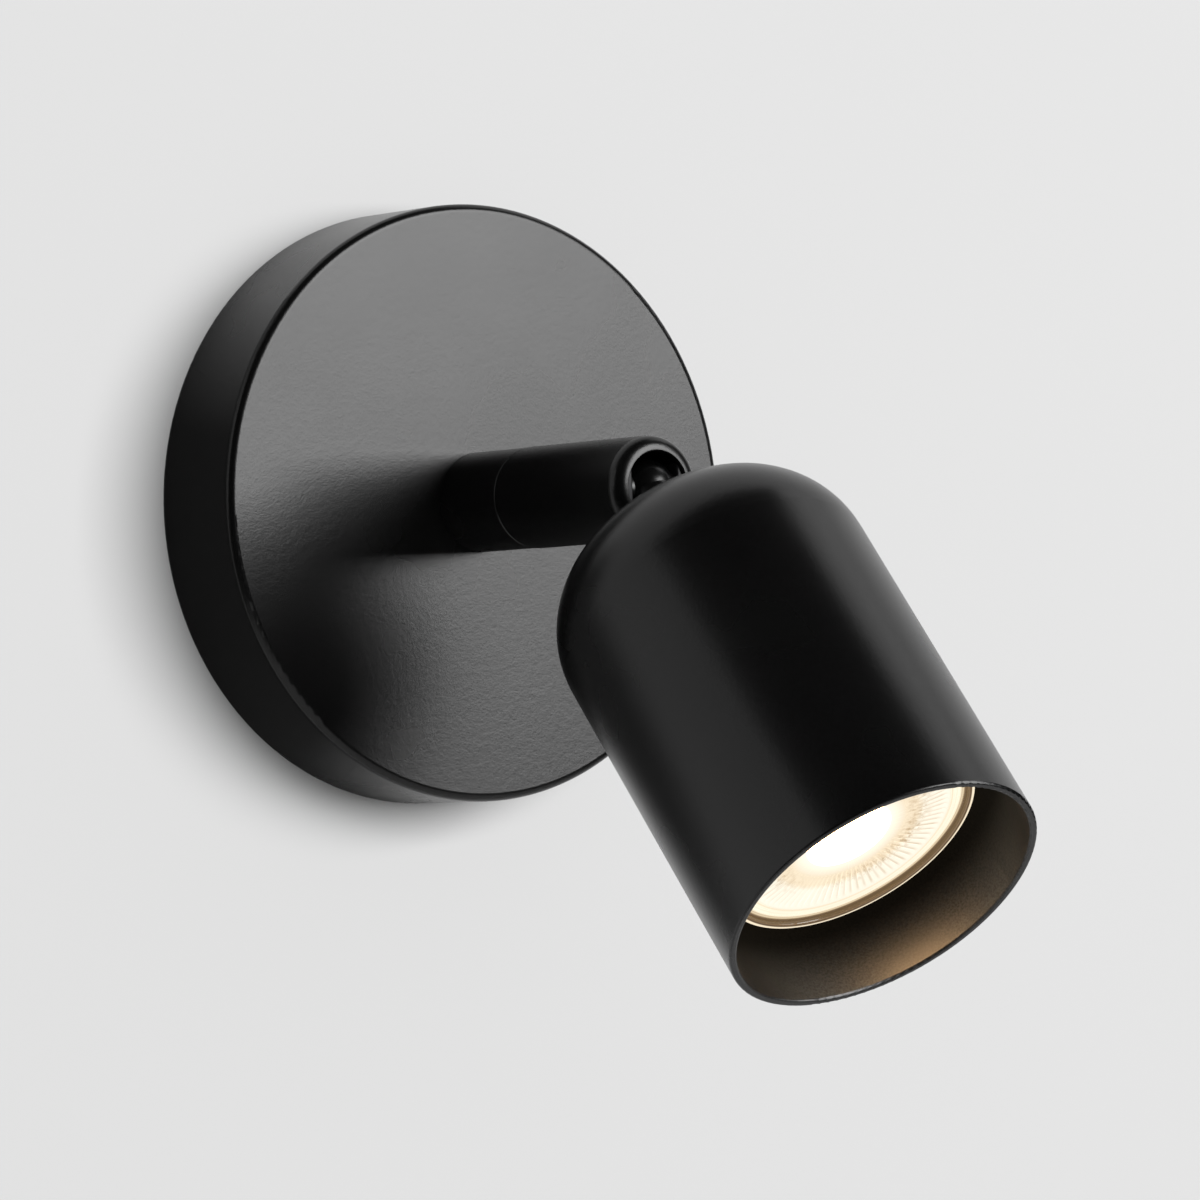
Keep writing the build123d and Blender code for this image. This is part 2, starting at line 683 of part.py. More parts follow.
# ---------------------------------------------------------------- knuckle and head shell
with BuildPart() as tilt_knuckle:
    with BuildSketch(head_profile):
        with BuildLine():
            shoulder_in = sqrt(knuckle_radius**2 - neck_radius**2)
            CenterArc((0, 0), knuckle_radius, -90, 90 + degrees(asin(shoulder_in / knuckle_radius)))
            Polyline(
                (neck_radius, shoulder_in),
                (neck_radius, head_standoff),
                (spigot_radius, head_standoff),
                (spigot_radius, spigot_end),
                (0, spigot_end),
                (0, -knuckle_radius),
            )
        make_face()
    revolve(axis=head_axis)
    for side in (-1, 1):
        with BuildSketch(head_side.offset(side * knuckle_flat)):
            with Locations(((knuckle_flat_reach - knuckle_radius) / 2, 0)):
                Rectangle(knuckle_flat_reach + knuckle_radius, 2 * knuckle_radius)
        extrude(amount=side * knuckle_radius, mode=Mode.SUBTRACT)
    with BuildSketch(head_level(0)):
        Circle(neck_bore)
    extrude(amount=spigot_end, mode=Mode.SUBTRACT)
    # the leads' channel is open over the whole swing, from straight behind to square
    with BuildSketch(head_side):
        Circle(neck_bore)
        with Locations((-knuckle_radius, knuckle_radius - neck_bore)):
            Rectangle(2 * knuckle_radius, 2 * knuckle_radius)
        with Locations((neck_bore - knuckle_radius, knuckle_radius)):
            Rectangle(2 * knuckle_radius, 2 * knuckle_radius)
    extrude(amount=neck_bore, both=True, mode=Mode.SUBTRACT)
    with BuildSketch(head_side):
        Circle(pin_radius + running_gap)
    extrude(amount=knuckle_radius, both=True, mode=Mode.SUBTRACT)

with BuildPart() as tilt_washers:
    with BuildSketch(head_side.offset(knuckle_flat + face_gap / 2)):
        Circle(tilt_washer_radius)
        Circle(pin_radius + running_gap, mode=Mode.SUBTRACT)
    extrude(amount=cheek_face - knuckle_flat - 1.5 * face_gap)
    mirror(about=Plane.YZ)

with BuildPart() as head_shell:
    with BuildSketch(head_profile):
        with BuildLine():
            head_outline(0)
        make_face()
        with BuildLine():
            head_outline(head_wall)
        make_face(mode=Mode.SUBTRACT)
    revolve(axis=head_axis)
    with BuildSketch(head_level(0)):
        Circle(spigot_radius + 2 * thread_gap)
    extrude(amount=mouth_along, mode=Mode.SUBTRACT)
    lip = head_shell.edges().filter_by(GeomType.CIRCLE).sort_by(head_axis)[-2:]
    fillet(lip, lip_radius)

# ---------------------------------------------------------------- clamped under the dome
with BuildPart() as holder_bracket:
    with BuildSketch(head_profile):
        with Locations((0, (seat_along + holder_back) / 2)):
            Rectangle(2 * bracket_leg, holder_back - seat_along)
        with Locations((0, (web_top + holder_back) / 2)):
            Rectangle(2 * (bracket_leg - bracket_sheet), holder_back - web_top, mode=Mode.SUBTRACT)
        for side in (-1, 1):
            foot_middle = side * (bracket_foot + bracket_leg - bracket_sheet) / 2
            with Locations((foot_middle, holder_back - bracket_sheet / 2)):
                Rectangle(bracket_foot - bracket_leg + bracket_sheet, bracket_sheet)
    extrude(amount=bracket_width / 2, both=True)
    with BuildSketch(head_level(0)):
        Circle(spigot_radius + 2 * thread_gap)
        with Locations((-holder_screw_circle, 0), (holder_screw_circle, 0)):
            Circle(holder_screw_radius + 2 * thread_gap)
    extrude(amount=holder_front, mode=Mode.SUBTRACT)

with BuildPart() as neck_washer:
    with BuildSketch(head_level(web_top)):
        Circle(neck_washer_radius)
        with PolarLocations(neck_washer_radius, neck_washer_teeth):
            Rectangle(2 * neck_washer_notch_depth, neck_washer_notch, mode=Mode.SUBTRACT)
        Circle(spigot_radius + thread_gap, mode=Mode.SUBTRACT)
    extrude(amount=neck_washer_sheet)

with BuildPart() as neck_nut:
    with BuildSketch(head_level(neck_washer_top)):
        RegularPolygon(neck_nut_flats / 2, 6, major_radius=False)
        Circle(spigot_radius + thread_gap, mode=Mode.SUBTRACT)
    extrude(amount=neck_nut_height)

# ---------------------------------------------------------------- lampholder
slot_radius = lamp_pin_shank + pin_play
keyhole_radius = lamp_pin_radius + pin_play
pocket_back = holder_back + contact_rear_wall
with BuildPart() as lampholder:
    with BuildSketch(head_level(holder_back)):
        Circle(holder_radius)
    extrude(amount=holder_length)
    chamfer(lampholder.edges().filter_by(GeomType.CIRCLE), holder_edge)
    with BuildSketch(head_level(holder_front)):
        for start in (0, 180):
            with BuildLine(mode=Mode.PRIVATE):
                swing = CenterArc((0, 0), pin_circle, start, twist_angle)
            SlotArc(swing, 2 * slot_radius)
            with Locations(swing @ 1):
                Circle(keyhole_radius)
    extrude(amount=-holder_face_plate, mode=Mode.SUBTRACT)
    with BuildSketch(head_level(holder_front - holder_face_plate)):
        for start in (0, 180):
            with BuildLine(mode=Mode.PRIVATE):
                swing = CenterArc((0, 0), pin_circle, start, twist_angle)
            SlotArc(swing, 2 * keyhole_radius)
    extrude(amount=contact_front - holder_front + holder_face_plate, mode=Mode.SUBTRACT)
    with BuildSketch(head_level(pocket_back)):
        with PolarLocations(pin_circle, 2):
            with Locations((0, contact_shift)):
                Rectangle(contact_width + 2 * thread_gap, contact_length + 2 * thread_gap)
    extrude(amount=contact_front - pocket_back, mode=Mode.SUBTRACT)
    with BuildSketch(head_level(holder_back)):
        with PolarLocations(pin_circle, 2):
            Circle(wire_radius + lead_hole_gap)
    extrude(amount=contact_rear_wall, mode=Mode.SUBTRACT)
    with BuildSketch(head_level(holder_back)):
        with PolarLocations(holder_screw_circle, 2):
            Circle(holder_screw_radius + thread_gap)
    extrude(amount=holder_screw_depth, mode=Mode.SUBTRACT)

with BuildPart() as holder_contacts:
    with BuildSketch(head_level(contact_front - contact_sheet)):
        with PolarLocations(pin_circle, 2):
            with Locations((0, contact_shift)):
                Rectangle(contact_width, contact_length)
    extrude(amount=contact_sheet)
    with BuildSketch(head_level(pocket_back)):
        with PolarLocations(pin_circle, 2):
            Rectangle(contact_post, contact_post)
    extrude(amount=contact_front - contact_sheet - pocket_back)
    with BuildSketch(head_level(pocket_back)):
        with PolarLocations(pin_circle, 2):
            Circle(wire_radius + thread_gap)
    extrude(amount=contact_grip, mode=Mode.SUBTRACT)

screw_foot = holder_back - bracket_sheet
with BuildPart() as holder_screws:
    with BuildSketch(head_level(screw_foot)):
        with PolarLocations(holder_screw_circle, 2):
            Circle(holder_screw_radius)
    extrude(amount=bracket_sheet + holder_screw_depth - loose_gap)
    with BuildSketch(head_level(screw_foot)):
        with PolarLocations(holder_screw_circle, 2):
            Circle(holder_screw_head_radius)
    extrude(amount=-holder_screw_head_height)
    with BuildSketch(head_level(screw_foot - holder_screw_head_height)):
        with PolarLocations(holder_screw_circle, 2):
            Rectangle(holder_screw_cross, holder_screw_cross_slot)
            Rectangle(holder_screw_cross_slot, holder_screw_cross)
    extrude(amount=holder_screw_cross_depth, mode=Mode.SUBTRACT)

# ---------------------------------------------------------------- leads
wire_start = nipple_end - lead_joint_gap
arm_start = nipple_end + lead_joint_gap


def stem_point(side, out, rise):
    """Point of a lead's route in the back plate or the stem."""
    return Vector(side, -out, rise)


def wire_along(points):
    """A round wire along straight runs joined by tangent arcs."""
    with BuildPart() as wire:
        with BuildLine() as route:
            FilletPolyline(*points, radius=bend_radii(points))
        with BuildSketch(Plane(origin=route.line @ 0, z_dir=route.line % 0)):
            Circle(wire_radius)
        sweep(path=route.line)
    length = sum(edge.length for edge in route.edges())
    share = wire.part.volume / (length * pi * wire_radius**2)
    print("lead length", round(length, 2), "volume share", round(share, 5))
    return wire


def tube_between(level, start, end):
    """A straight piece of sleeving square to the planes that level gives."""
    with BuildPart() as tube:
        with BuildSketch(level(start)):
            Circle(sleeving_radius)
            Circle(sleeving_radius - sleeving_wall, mode=Mode.SUBTRACT)
        extrude(amount=end - start)
    return tube


def arm_wire(side):
    """A straight wire from the swivel to the tilt pivot, round at the pivot end."""
    with BuildPart() as wire:
        with BuildSketch(wall_level(arm_start)):
            with Locations((side, 0)):
                Circle(wire_radius)
        extrude(amount=pivot_out - arm_start)
        with Locations((side, -pivot_out, 0)):
            Sphere(wire_radius)
    return wire


wire_top = block_rise - lead_grip
lead_turn = block_rise - barrel_length / 2 - lead_drop
base_live_lead = wire_along(
    [
        stem_point(pole_centres[0], barrel_out, wire_top),
        stem_point(pole_centres[0], barrel_out, lead_turn),
        stem_point(-wire_offset, lead_rise_out, 0),
        stem_point(-wire_offset, wire_start, 0),
    ]
)
base_neutral_lead = wire_along(
    [
        stem_point(pole_centres[1], barrel_out, wire_top),
        stem_point(pole_centres[1], barrel_out, lead_turn),
        stem_point(wire_offset, lead_rise_out, 0),
        stem_point(wire_offset, wire_start, 0),
    ]
)
earth_lead = wire_along(
    [
        stem_point(pole_centres[-1], barrel_out, wire_top),
        stem_point(pole_centres[-1], barrel_out, lead_turn - lead_drop),
        stem_point(earth_screw_side, lug_barrel_out, lug_barrel_start + lug_barrel_length + 2 * lead_drop),
        stem_point(earth_screw_side, lug_barrel_out, lug_barrel_start + lead_end_setback),
    ]
)
head_route = [
    (wire_offset, wire_radius + lead_joint_gap),
    (wire_offset, spigot_end + lead_fan_start),
    (pin_circle, holder_back - lead_fan_end),
    (pin_circle, pocket_back + contact_grip - lead_end_setback),
]
head_live_lead = wire_along([head_point(-side, along) for side, along in head_route])
head_neutral_lead = wire_along([head_point(side, along) for side, along in head_route])
arm_live_lead = arm_wire(-wire_offset)
arm_neutral_lead = arm_wire(wire_offset)
base_sleeving = tube_between(wall_level, nipple_start - loose_gap, wire_start)
arm_sleeving = tube_between(wall_level, arm_start, pivot_out - sleeving_radius - sleeving_pivot_gap)
head_sleeving = tube_between(head_level, sleeving_radius + sleeving_pivot_gap, spigot_end + loose_gap)

# ---------------------------------------------------------------- reflector lamp
lamp_radius = lamp_diameter / 2
glass_start = lamp_base_start + lamp_base_length
rim_start = lamp_face - lamp_rim_length
rim_inner = lamp_radius - lamp_glass
neck_outer = lamp_base_radius - lamp_edge


def reflector_outline(shrink):
    """Closed half-section of the glass reflector's outer form, shrunk by the glass."""
    wall = lamp_radius - shrink
    foot = (neck_outer - shrink, glass_start + shrink)
    TangentArc((wall, rim_start), foot, tangent=(0, -1))
    Polyline((wall, rim_start), (wall, lamp_face), (0, lamp_face), (0, foot[1]), foot)


with BuildPart() as lamp_base:
    with BuildSketch(head_level(lamp_base_start)):
        Circle(lamp_base_radius)
    extrude(amount=lamp_base_length)
    chamfer(lamp_base.edges().filter_by(GeomType.CIRCLE).sort_by(head_axis)[0], 2 * lamp_edge)

shank_length = holder_face_plate + lamp_seat_gap + pin_play
with BuildPart() as lamp_pins:
    with BuildSketch(head_level(lamp_base_start)):
        with PolarLocations(pin_circle, 2):
            Circle(lamp_pin_shank)
    extrude(amount=-shank_length)
    with BuildSketch(head_level(lamp_base_start - shank_length)):
        with PolarLocations(pin_circle, 2):
            Circle(lamp_pin_radius)
    extrude(amount=shank_length - lamp_pin_length)
    chamfer(lamp_pins.edges().filter_by(GeomType.CIRCLE).group_by(head_axis)[0], lamp_edge)

with BuildPart() as lamp_reflector:
    with BuildSketch(head_profile):
        with BuildLine():
            reflector_outline(0)
        make_face()
        with BuildLine():
            reflector_outline(lamp_glass)
        make_face(mode=Mode.SUBTRACT)
    revolve(axis=head_axis)
    lamp_lip = lamp_reflector.edges().filter_by(GeomType.CIRCLE).sort_by(head_axis)[-2:]
    fillet(lamp_lip, lamp_edge)

lens_front = lamp_face - lens_sink
lens_ring_back = rim_start + thread_gap
with BuildPart() as lens_ring:
    with BuildSketch(head_profile):
        ring_profile(rim_inner - lens_ring_width, rim_inner - thread_gap, lens_ring_back, lens_front)
    revolve(axis=head_axis)
    fillet(lens_ring.edges().filter_by(GeomType.CIRCLE).group_by(head_axis)[-1], lamp_edge / 2)

with BuildPart() as lamp_lens:
    with BuildSketch(head_level(lens_front - lens_thickness)):
        Circle(rim_inner - lens_ring_width - thread_gap)
    extrude(amount=lens_thickness)
    with BuildSketch(head_profile):
        with BuildLine():
            Line((0, lens_front - lens_thickness / 2), (0, lens_front + lens_dome_rise))
            TangentArc(
                (0, lens_front + lens_dome_rise),
                (lens_dome_radius, lens_front),
                tangent=(1, 0),
            )
            Polyline(
                (lens_dome_radius, lens_front),
                (lens_dome_radius, lens_front - lens_thickness / 2),
                (0, lens_front - lens_thickness / 2),
            )
        make_face()
    revolve(axis=head_axis)

board_front = glass_start + lamp_glass + heat_sink_length + led_board_sheet
with BuildPart() as led_board:
    with BuildSketch(head_level(board_front - led_board_sheet)):
        Circle(led_board_radius)
    extrude(amount=led_board_sheet)

with BuildPart() as led_heat_sink:
    with BuildSketch(head_level(glass_start + lamp_glass)):
        Circle(heat_sink_hub_radius)
        with PolarLocations(heat_sink_radius / 2, heat_sink_fins):
            Rectangle(heat_sink_radius, heat_sink_fin_sheet)
        Circle(heat_sink_radius, mode=Mode.INTERSECT)
    extrude(amount=heat_sink_length)

with BuildPart() as led_emitter:
    with BuildSketch(head_level(board_front)):
        Circle(emitter_radius)
    extrude(amount=emitter_height)
    fillet(led_emitter.edges().filter_by(GeomType.CIRCLE).sort_by(head_axis)[-1], emitter_edge_radius)

for piece, name in (
    (back_plate, "back_plate"),
    (mounting_bracket, "mounting_bracket"),
    (bracket_tabs, "bracket_tabs"),
    (plate_screws, "plate_screws"),
    (terminal_block, "terminal_block"),
    (terminal_clamps, "terminal_clamps"),
    (terminal_screws, "terminal_screws"),
    (block_screw, "block_screw"),
    (earth_lug, "earth_lug"),
    (earth_screw, "earth_screw"),
    (stem_nipple, "stem_nipple"),
    (nipple_washer, "nipple_washer"),
    (nipple_nut, "nipple_nut"),
    (stem_collar, "stem_collar"),
    (stop_pin, "stop_pin"),
    (swivel_washer, "swivel_washer"),
    (swivel_spring, "swivel_spring"),
    (swivel_nut, "swivel_nut"),
    (stem_sleeve, "stem_sleeve"),
    (tilt_fork, "tilt_fork"),
    (fork_screw, "fork_screw"),
    (tilt_pins, "tilt_pins"),
    (tilt_knuckle, "tilt_knuckle"),
    (tilt_washers, "tilt_washers"),
    (head_shell, "head_shell"),
    (holder_bracket, "holder_bracket"),
    (neck_washer, "neck_washer"),
    (neck_nut, "neck_nut"),
    (lampholder, "lampholder"),
    (holder_contacts, "holder_contacts"),
    (holder_screws, "holder_screws"),
    (base_live_lead, "base_live_lead"),
    (base_neutral_lead, "base_neutral_lead"),
    (earth_lead, "earth_lead"),
    (arm_live_lead, "arm_live_lead"),
    (arm_neutral_lead, "arm_neutral_lead"),
    (head_live_lead, "head_live_lead"),
    (head_neutral_lead, "head_neutral_lead"),
    (base_sleeving, "base_sleeving"),
    (arm_sleeving, "arm_sleeving"),
    (head_sleeving, "head_sleeving"),
    (lamp_base, "lamp_base"),
    (lamp_pins, "lamp_pins"),
    (lamp_reflector, "lamp_reflector"),
    (lens_ring, "lens_ring"),
    (lamp_lens, "lamp_lens"),
    (led_board, "led_board"),
    (led_heat_sink, "led_heat_sink"),
    (led_emitter, "led_emitter"),
):
    piece.part.label = name
    export_step(piece.part, f"parts/{name}.step")
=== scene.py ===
import json
from math import cos, pi, radians, sin

import bmesh
import bpy
import numpy as np
from mathutils import Matrix, Vector


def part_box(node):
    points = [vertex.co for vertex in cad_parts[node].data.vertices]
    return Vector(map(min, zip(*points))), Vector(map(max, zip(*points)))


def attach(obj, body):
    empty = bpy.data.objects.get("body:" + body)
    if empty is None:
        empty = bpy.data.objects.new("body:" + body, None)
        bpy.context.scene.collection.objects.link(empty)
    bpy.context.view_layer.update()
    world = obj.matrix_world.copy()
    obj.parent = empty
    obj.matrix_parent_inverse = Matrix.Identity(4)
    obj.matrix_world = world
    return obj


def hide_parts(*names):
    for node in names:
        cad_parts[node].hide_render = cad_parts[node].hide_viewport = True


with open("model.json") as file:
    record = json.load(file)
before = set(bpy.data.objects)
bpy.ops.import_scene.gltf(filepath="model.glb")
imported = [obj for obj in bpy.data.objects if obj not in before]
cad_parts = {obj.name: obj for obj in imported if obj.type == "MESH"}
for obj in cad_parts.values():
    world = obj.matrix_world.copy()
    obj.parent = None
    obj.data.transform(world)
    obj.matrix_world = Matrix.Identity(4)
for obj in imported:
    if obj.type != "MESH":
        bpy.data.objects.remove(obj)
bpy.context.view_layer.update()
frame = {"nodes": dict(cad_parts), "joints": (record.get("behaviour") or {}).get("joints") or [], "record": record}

# Pivoting spotlight wall light, in metres. The wall is the plane Y = 0, the room is on the
# -Y side, and +Z is up. "Along" is a distance from the tilt pivot along the head's own axis.

nodes = frame["nodes"]
joints = {joint["name"]: joint for joint in frame["joints"]}

# ---------------------------------------------------------------- driving dimensions
mm = 0.001
sharp_angle = 38                   # degrees, past which an edge between faces stays sharp
weld_distance = 0.0001 * mm

# lamp front, radii from the lamp's axis
lens_centre_radius = 8.3 * mm      # smooth bright middle
flute_start = 11.3 * mm            # radial flutes round the middle
flute_end = 20.2 * mm
flute_shoulder = 0.9 * mm
flute_count = 84
flute_depth = 0.32 * mm
ridge_start = 20.5 * mm            # fine concentric ridges outside the flutes
ridge_count = 4
ridge_depth = 0.10 * mm
lens_edge_break = 0.15 * mm
lens_rows = (14, 26, 24)           # rows of points over the middle, the flutes and the ridges
lens_row_gap = 0.1 * mm
columns_per_flute = 8
trim_groove_depth = 0.22 * mm
trim_groove_fullness = 0.6         # power of the groove's sine: less is flatter
trim_rows = 18
trim_columns = 192

# camera, from the outlines of the plate, the stem, the dome and the mouth, and turned 1.9
# degrees about the stem's axis in place of a swivel of the head
photo_size = 1200                  # pixels, square
camera_place = Vector((-0.755388, -1.10163, -0.027324))
camera_right = Vector((0.80838457, -0.58583651, -0.05753236))
camera_up = Vector((0.04334402, -0.03823174, 0.99832841))
focal_pixels = 6854.7
sensor_width = 36.0                # millimetres

# studio
wall_size = 5.0
wall_hole_inset = 0.6 * mm         # the wall reaches this far under the plate's rim
wall_sides = 256
floor_drop = 1.5                   # floor below the light
wall_colour = (0.10, 0.10, 0.10)   # looks pale under the wall's own softbox
floor_colour = (0.90, 0.90, 0.895)
room_colour = (0.775, 0.775, 0.775)
paint_shade = 0.985                # darker share of a painted colour
dark_room_radius = 3.6
dark_room_rows = 24
dark_room_columns = 64
cloth_colour = (0.02, 0.02, 0.02)
# painted shadow seen in reflections: a black card lying on the wall round the plate's lower left stands in for the
# wall's deeper shadow there
painted_shadow_colour = (0.14, 0.14, 0.14)
card_lighter = 1.1                 # lighter share of the card's colour
card_angles = (128, 270)           # degrees round the plate, from its right
card_fade = 34                     # degrees over which each end fades
card_radius = 0.17
card_edge_fade = 0.05
card_gap = -0.4 * mm
card_rows = 6
card_columns = 40


# ---------------------------------------------------------------- places read from the frame
head_axis = Vector(joints["lamp_twist"]["axis"]).normalized()
tilt_pivot = Vector(joints["head_tilt"]["pos_m"])
wall_axis = Vector(joints["stem_swivel"]["axis"]).normalized()


def corners(node):
    """A node's vertices as an array of rows."""
    mesh = nodes[node].data
    flat = np.zeros(len(mesh.vertices) * 3, np.float32)
    mesh.vertices.foreach_get("co", flat)
    return flat.reshape(-1, 3).astype(float)


def reach(node, origin, axis):
    """Lowest and highest distance of a node along an axis, and its smallest and largest radius."""
    rows = corners(node) - np.array(origin)
    along = rows @ np.array(axis)
    radius = np.linalg.norm(rows - np.outer(along, np.array(axis)), axis=1)
    return along.min(), along.max(), radius.min(), radius.max()



# ---------------------------------------------------------------- surfaces
def grid_quads(rows, columns, joins_rows, joins_columns):
    """Four corners for each cell of a grid of points, joined to the first row or column if asked."""
    row = np.arange(rows if joins_rows else rows - 1)[:, None]
    column = np.arange(columns if joins_columns else columns - 1)[None]
    after_row = (row + 1) % rows
    after_column = (column + 1) % columns
    cell = (
        row * columns + column,
        row * columns + after_column,
        after_row * columns + after_column,
        after_row * columns + column,
    )
    return np.stack(np.broadcast_arrays(*cell), axis=-1).reshape(-1, 4)


def turned_surface(name, origin, axis, radius, along, closed_section):
    """A section carried round an axis.

    radius and along are arrays of one row per point of the section and one column per angle.
    The point is origin + along * axis + radius * (cos(angle) * side + sin(angle) * across),
    where side is the world's X and across completes the frame. A row whose radius is nought
    becomes one pole. A closed section joins its last row to its first.
    """
    rows, columns = radius.shape
    angle = np.linspace(0, 2 * pi, columns, endpoint=False)
    side = np.array((1.0, 0.0, 0.0))
    forward = np.array(axis)
    across = np.cross(forward, side)
    ring = np.outer(np.cos(angle), side) + np.outer(np.sin(angle), across)
    points = np.array(origin) + along[..., None] * forward + radius[..., None] * ring[None]

    mesh = bpy.data.meshes.new(name)
    mesh.from_pydata(points.reshape(-1, 3), [], grid_quads(rows, columns, closed_section, True))
    piece = bpy.data.objects.new(name, mesh)
    bpy.context.scene.collection.objects.link(piece)
    finish_mesh(piece)
    return piece


def finish_mesh(piece):
    """Closes the poles, turns the faces outwards and smooths all but the sharp edges."""
    work = bmesh.new()
    work.from_mesh(piece.data)
    bmesh.ops.remove_doubles(work, verts=work.verts, dist=weld_distance)
    bmesh.ops.recalc_face_normals(work, faces=work.faces)
    if work.calc_volume(signed=True) < 0:
        bmesh.ops.reverse_faces(work, faces=work.faces)
    work.to_mesh(piece.data)
    work.free()
    piece.data.shade_smooth()
    piece.data.set_sharp_from_angle(angle=radians(sharp_angle))


# ---------------------------------------------------------------- lamp front
def smooth_window(value, start, end, soft):
    """One between start and end, nought outside, with soft cosine shoulders."""
    rise = np.clip((value - start) / soft, 0, 1)
    fall = np.clip((end - value) / soft, 0, 1)
    return (0.5 - 0.5 * np.cos(pi * rise)) * (0.5 - 0.5 * np.cos(pi * fall))


def make_ribbed_lens():
    """The lamp's front lens: front height over its flat face is the sum of three terms.

    A shallow dome, rise * (1 - (r / R)^2), inside the middle; radial flutes,
    -depth * (1 - cos(count * angle)) / 2, in a soft window of radii; and concentric
    ridges, depth * cos, outside them.
    """
    back, dome_top, _, edge = reach("lamp_lens", tilt_pivot, head_axis)
    face = reach("lens_ring", tilt_pivot, head_axis)[1]
    columns = flute_count * columns_per_flute
    angle = np.linspace(0, 2 * pi, columns, endpoint=False)[None]
    middle = np.linspace(0, lens_centre_radius, lens_rows[0])
    fluted = np.linspace(lens_centre_radius + lens_row_gap, flute_end, lens_rows[1])
    ridged = np.linspace(flute_end + lens_row_gap, edge - lens_edge_break, lens_rows[2])
    front_radius = np.concatenate((middle, fluted, ridged))[:, None]
    dome = (dome_top - face) * np.clip(1 - (front_radius / lens_centre_radius) ** 2, 0, 1)
    flutes = -flute_depth * smooth_window(front_radius, flute_start, flute_end, flute_shoulder)
    flutes = flutes * (0.5 - 0.5 * np.cos(flute_count * angle))
    turns = (front_radius - ridge_start) / (edge - ridge_start) * ridge_count
    ridges = ridge_depth * (np.cos(2 * pi * turns) - 1) * (front_radius > ridge_start)
    front = face + dome + flutes + ridges + 0 * angle
    front_radius = front_radius + 0 * angle
    close_radius = np.array((edge, edge, 0.0))[:, None] + 0 * angle
    close_along = np.array((face - lens_edge_break, back, back))[:, None] + 0 * angle
    radius = np.vstack((front_radius, close_radius))
    along = np.vstack((front, close_along))
    return turned_surface("ribbed_lens", tilt_pivot, head_axis, radius, along, False)


def make_lens_trim():
    """The ring that holds the lens: a flat ring with a rounded bead at each edge.

    The front's depth below the beads is depth * sin(pi * w) ^ fullness, with w the share of
    the width.
    """
    back, front, inner, outer = reach("lens_ring", tilt_pivot, head_axis)
    width_share = np.linspace(0, 1, trim_rows)
    radius = inner + (outer - inner) * width_share
    depth = trim_groove_depth * np.sin(pi * width_share) ** trim_groove_fullness
    radius = np.concatenate((radius, (outer, inner)))[:, None]
    along = np.concatenate((front - depth, (back, back)))[:, None]
    spread = np.zeros((1, trim_columns))
    return turned_surface("lens_trim", tilt_pivot, head_axis, radius + spread, along + spread, True)


ribbed_lens = make_ribbed_lens()
lens_trim = make_lens_trim()
lamp_pieces = ((ribbed_lens, "lamp_lens", "lens_clear"), (lens_trim, "lens_ring", "lens_trim"))
for piece, node, slot in lamp_pieces:
    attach(piece, "lamp")
    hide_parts(node)


# ---------------------------------------------------------------- shader node helpers
def new_group(name, inputs, outputs):
    """An empty shader node group with float inputs and typed outputs."""
    group = bpy.data.node_groups.new(name, "ShaderNodeTree")
    for socket, default in inputs.items():
        made = group.interface.new_socket(socket, in_out="INPUT", socket_type="NodeSocketFloat")
        made.default_value = default
    for socket, kind in outputs.items():
        group.interface.new_socket(socket, in_out="OUTPUT", socket_type=kind)
    entry = group.nodes.new("NodeGroupInput")
    leave = group.nodes.new("NodeGroupOutput")
    return group, entry, leave


def add_node(tree, kind, values=None, **settings):
    """A node with settings by attribute and values by input, linked where a socket is given."""
    node = tree.nodes.new(kind)
    for key, value in settings.items():
        setattr(node, key, value)
    for key, value in (values or {}).items():
        if isinstance(value, bpy.types.NodeSocket):
            tree.links.new(value, node.inputs[key])
        else:
            node.inputs[key].default_value = value
    return node


def arithmetic(tree, operation, first, second=0.0, third=0.0):
    """The result of a Math node."""
    values = {0: first, 1: second, 2: third}
    return add_node(tree, "ShaderNodeMath", values, operation=operation).outputs[0]


def remap(tree, value, from_low, from_high, to_low, to_high):
    """A value carried from one range to another, held at both ends."""
    limits = {"Value": value, "From Min": from_low, "From Max": from_high}
    limits.update({"To Min": to_low, "To Max": to_high})
    return add_node(tree, "ShaderNodeMapRange", limits).outputs["Result"]


def band(tree, value, rise, fall):
    """One between two slopes and nought outside them; each slope is the pair of its ends."""
    rising = remap(tree, value, *rise, 0.0, 1.0)
    return arithmetic(tree, "MULTIPLY", rising, remap(tree, value, *fall, 1.0, 0.0))


def noise(tree, place, scale, detail=2.0, roughness=0.5):
    """Fractal noise, from about nought to one."""
    values = {"Vector": place, "Scale": scale, "Detail": detail, "Roughness": roughness}
    return add_node(tree, "ShaderNodeTexNoise", values).outputs["Fac"]


def blend_colours(tree, share, first, second):
    """A colour between two, by a share."""
    values = {"Factor": share, 6: first, 7: second}
    return add_node(tree, "ShaderNodeMix", values, data_type="RGBA").outputs[2]


def object_place(tree):
    """The point on the surface, in metres, in the part's own frame."""
    return tree.nodes.new("ShaderNodeTexCoord").outputs["Object"]


def as_colour(values):
    """Red, green and blue as a socket takes them, with full alpha."""
    return (*values, 1.0)


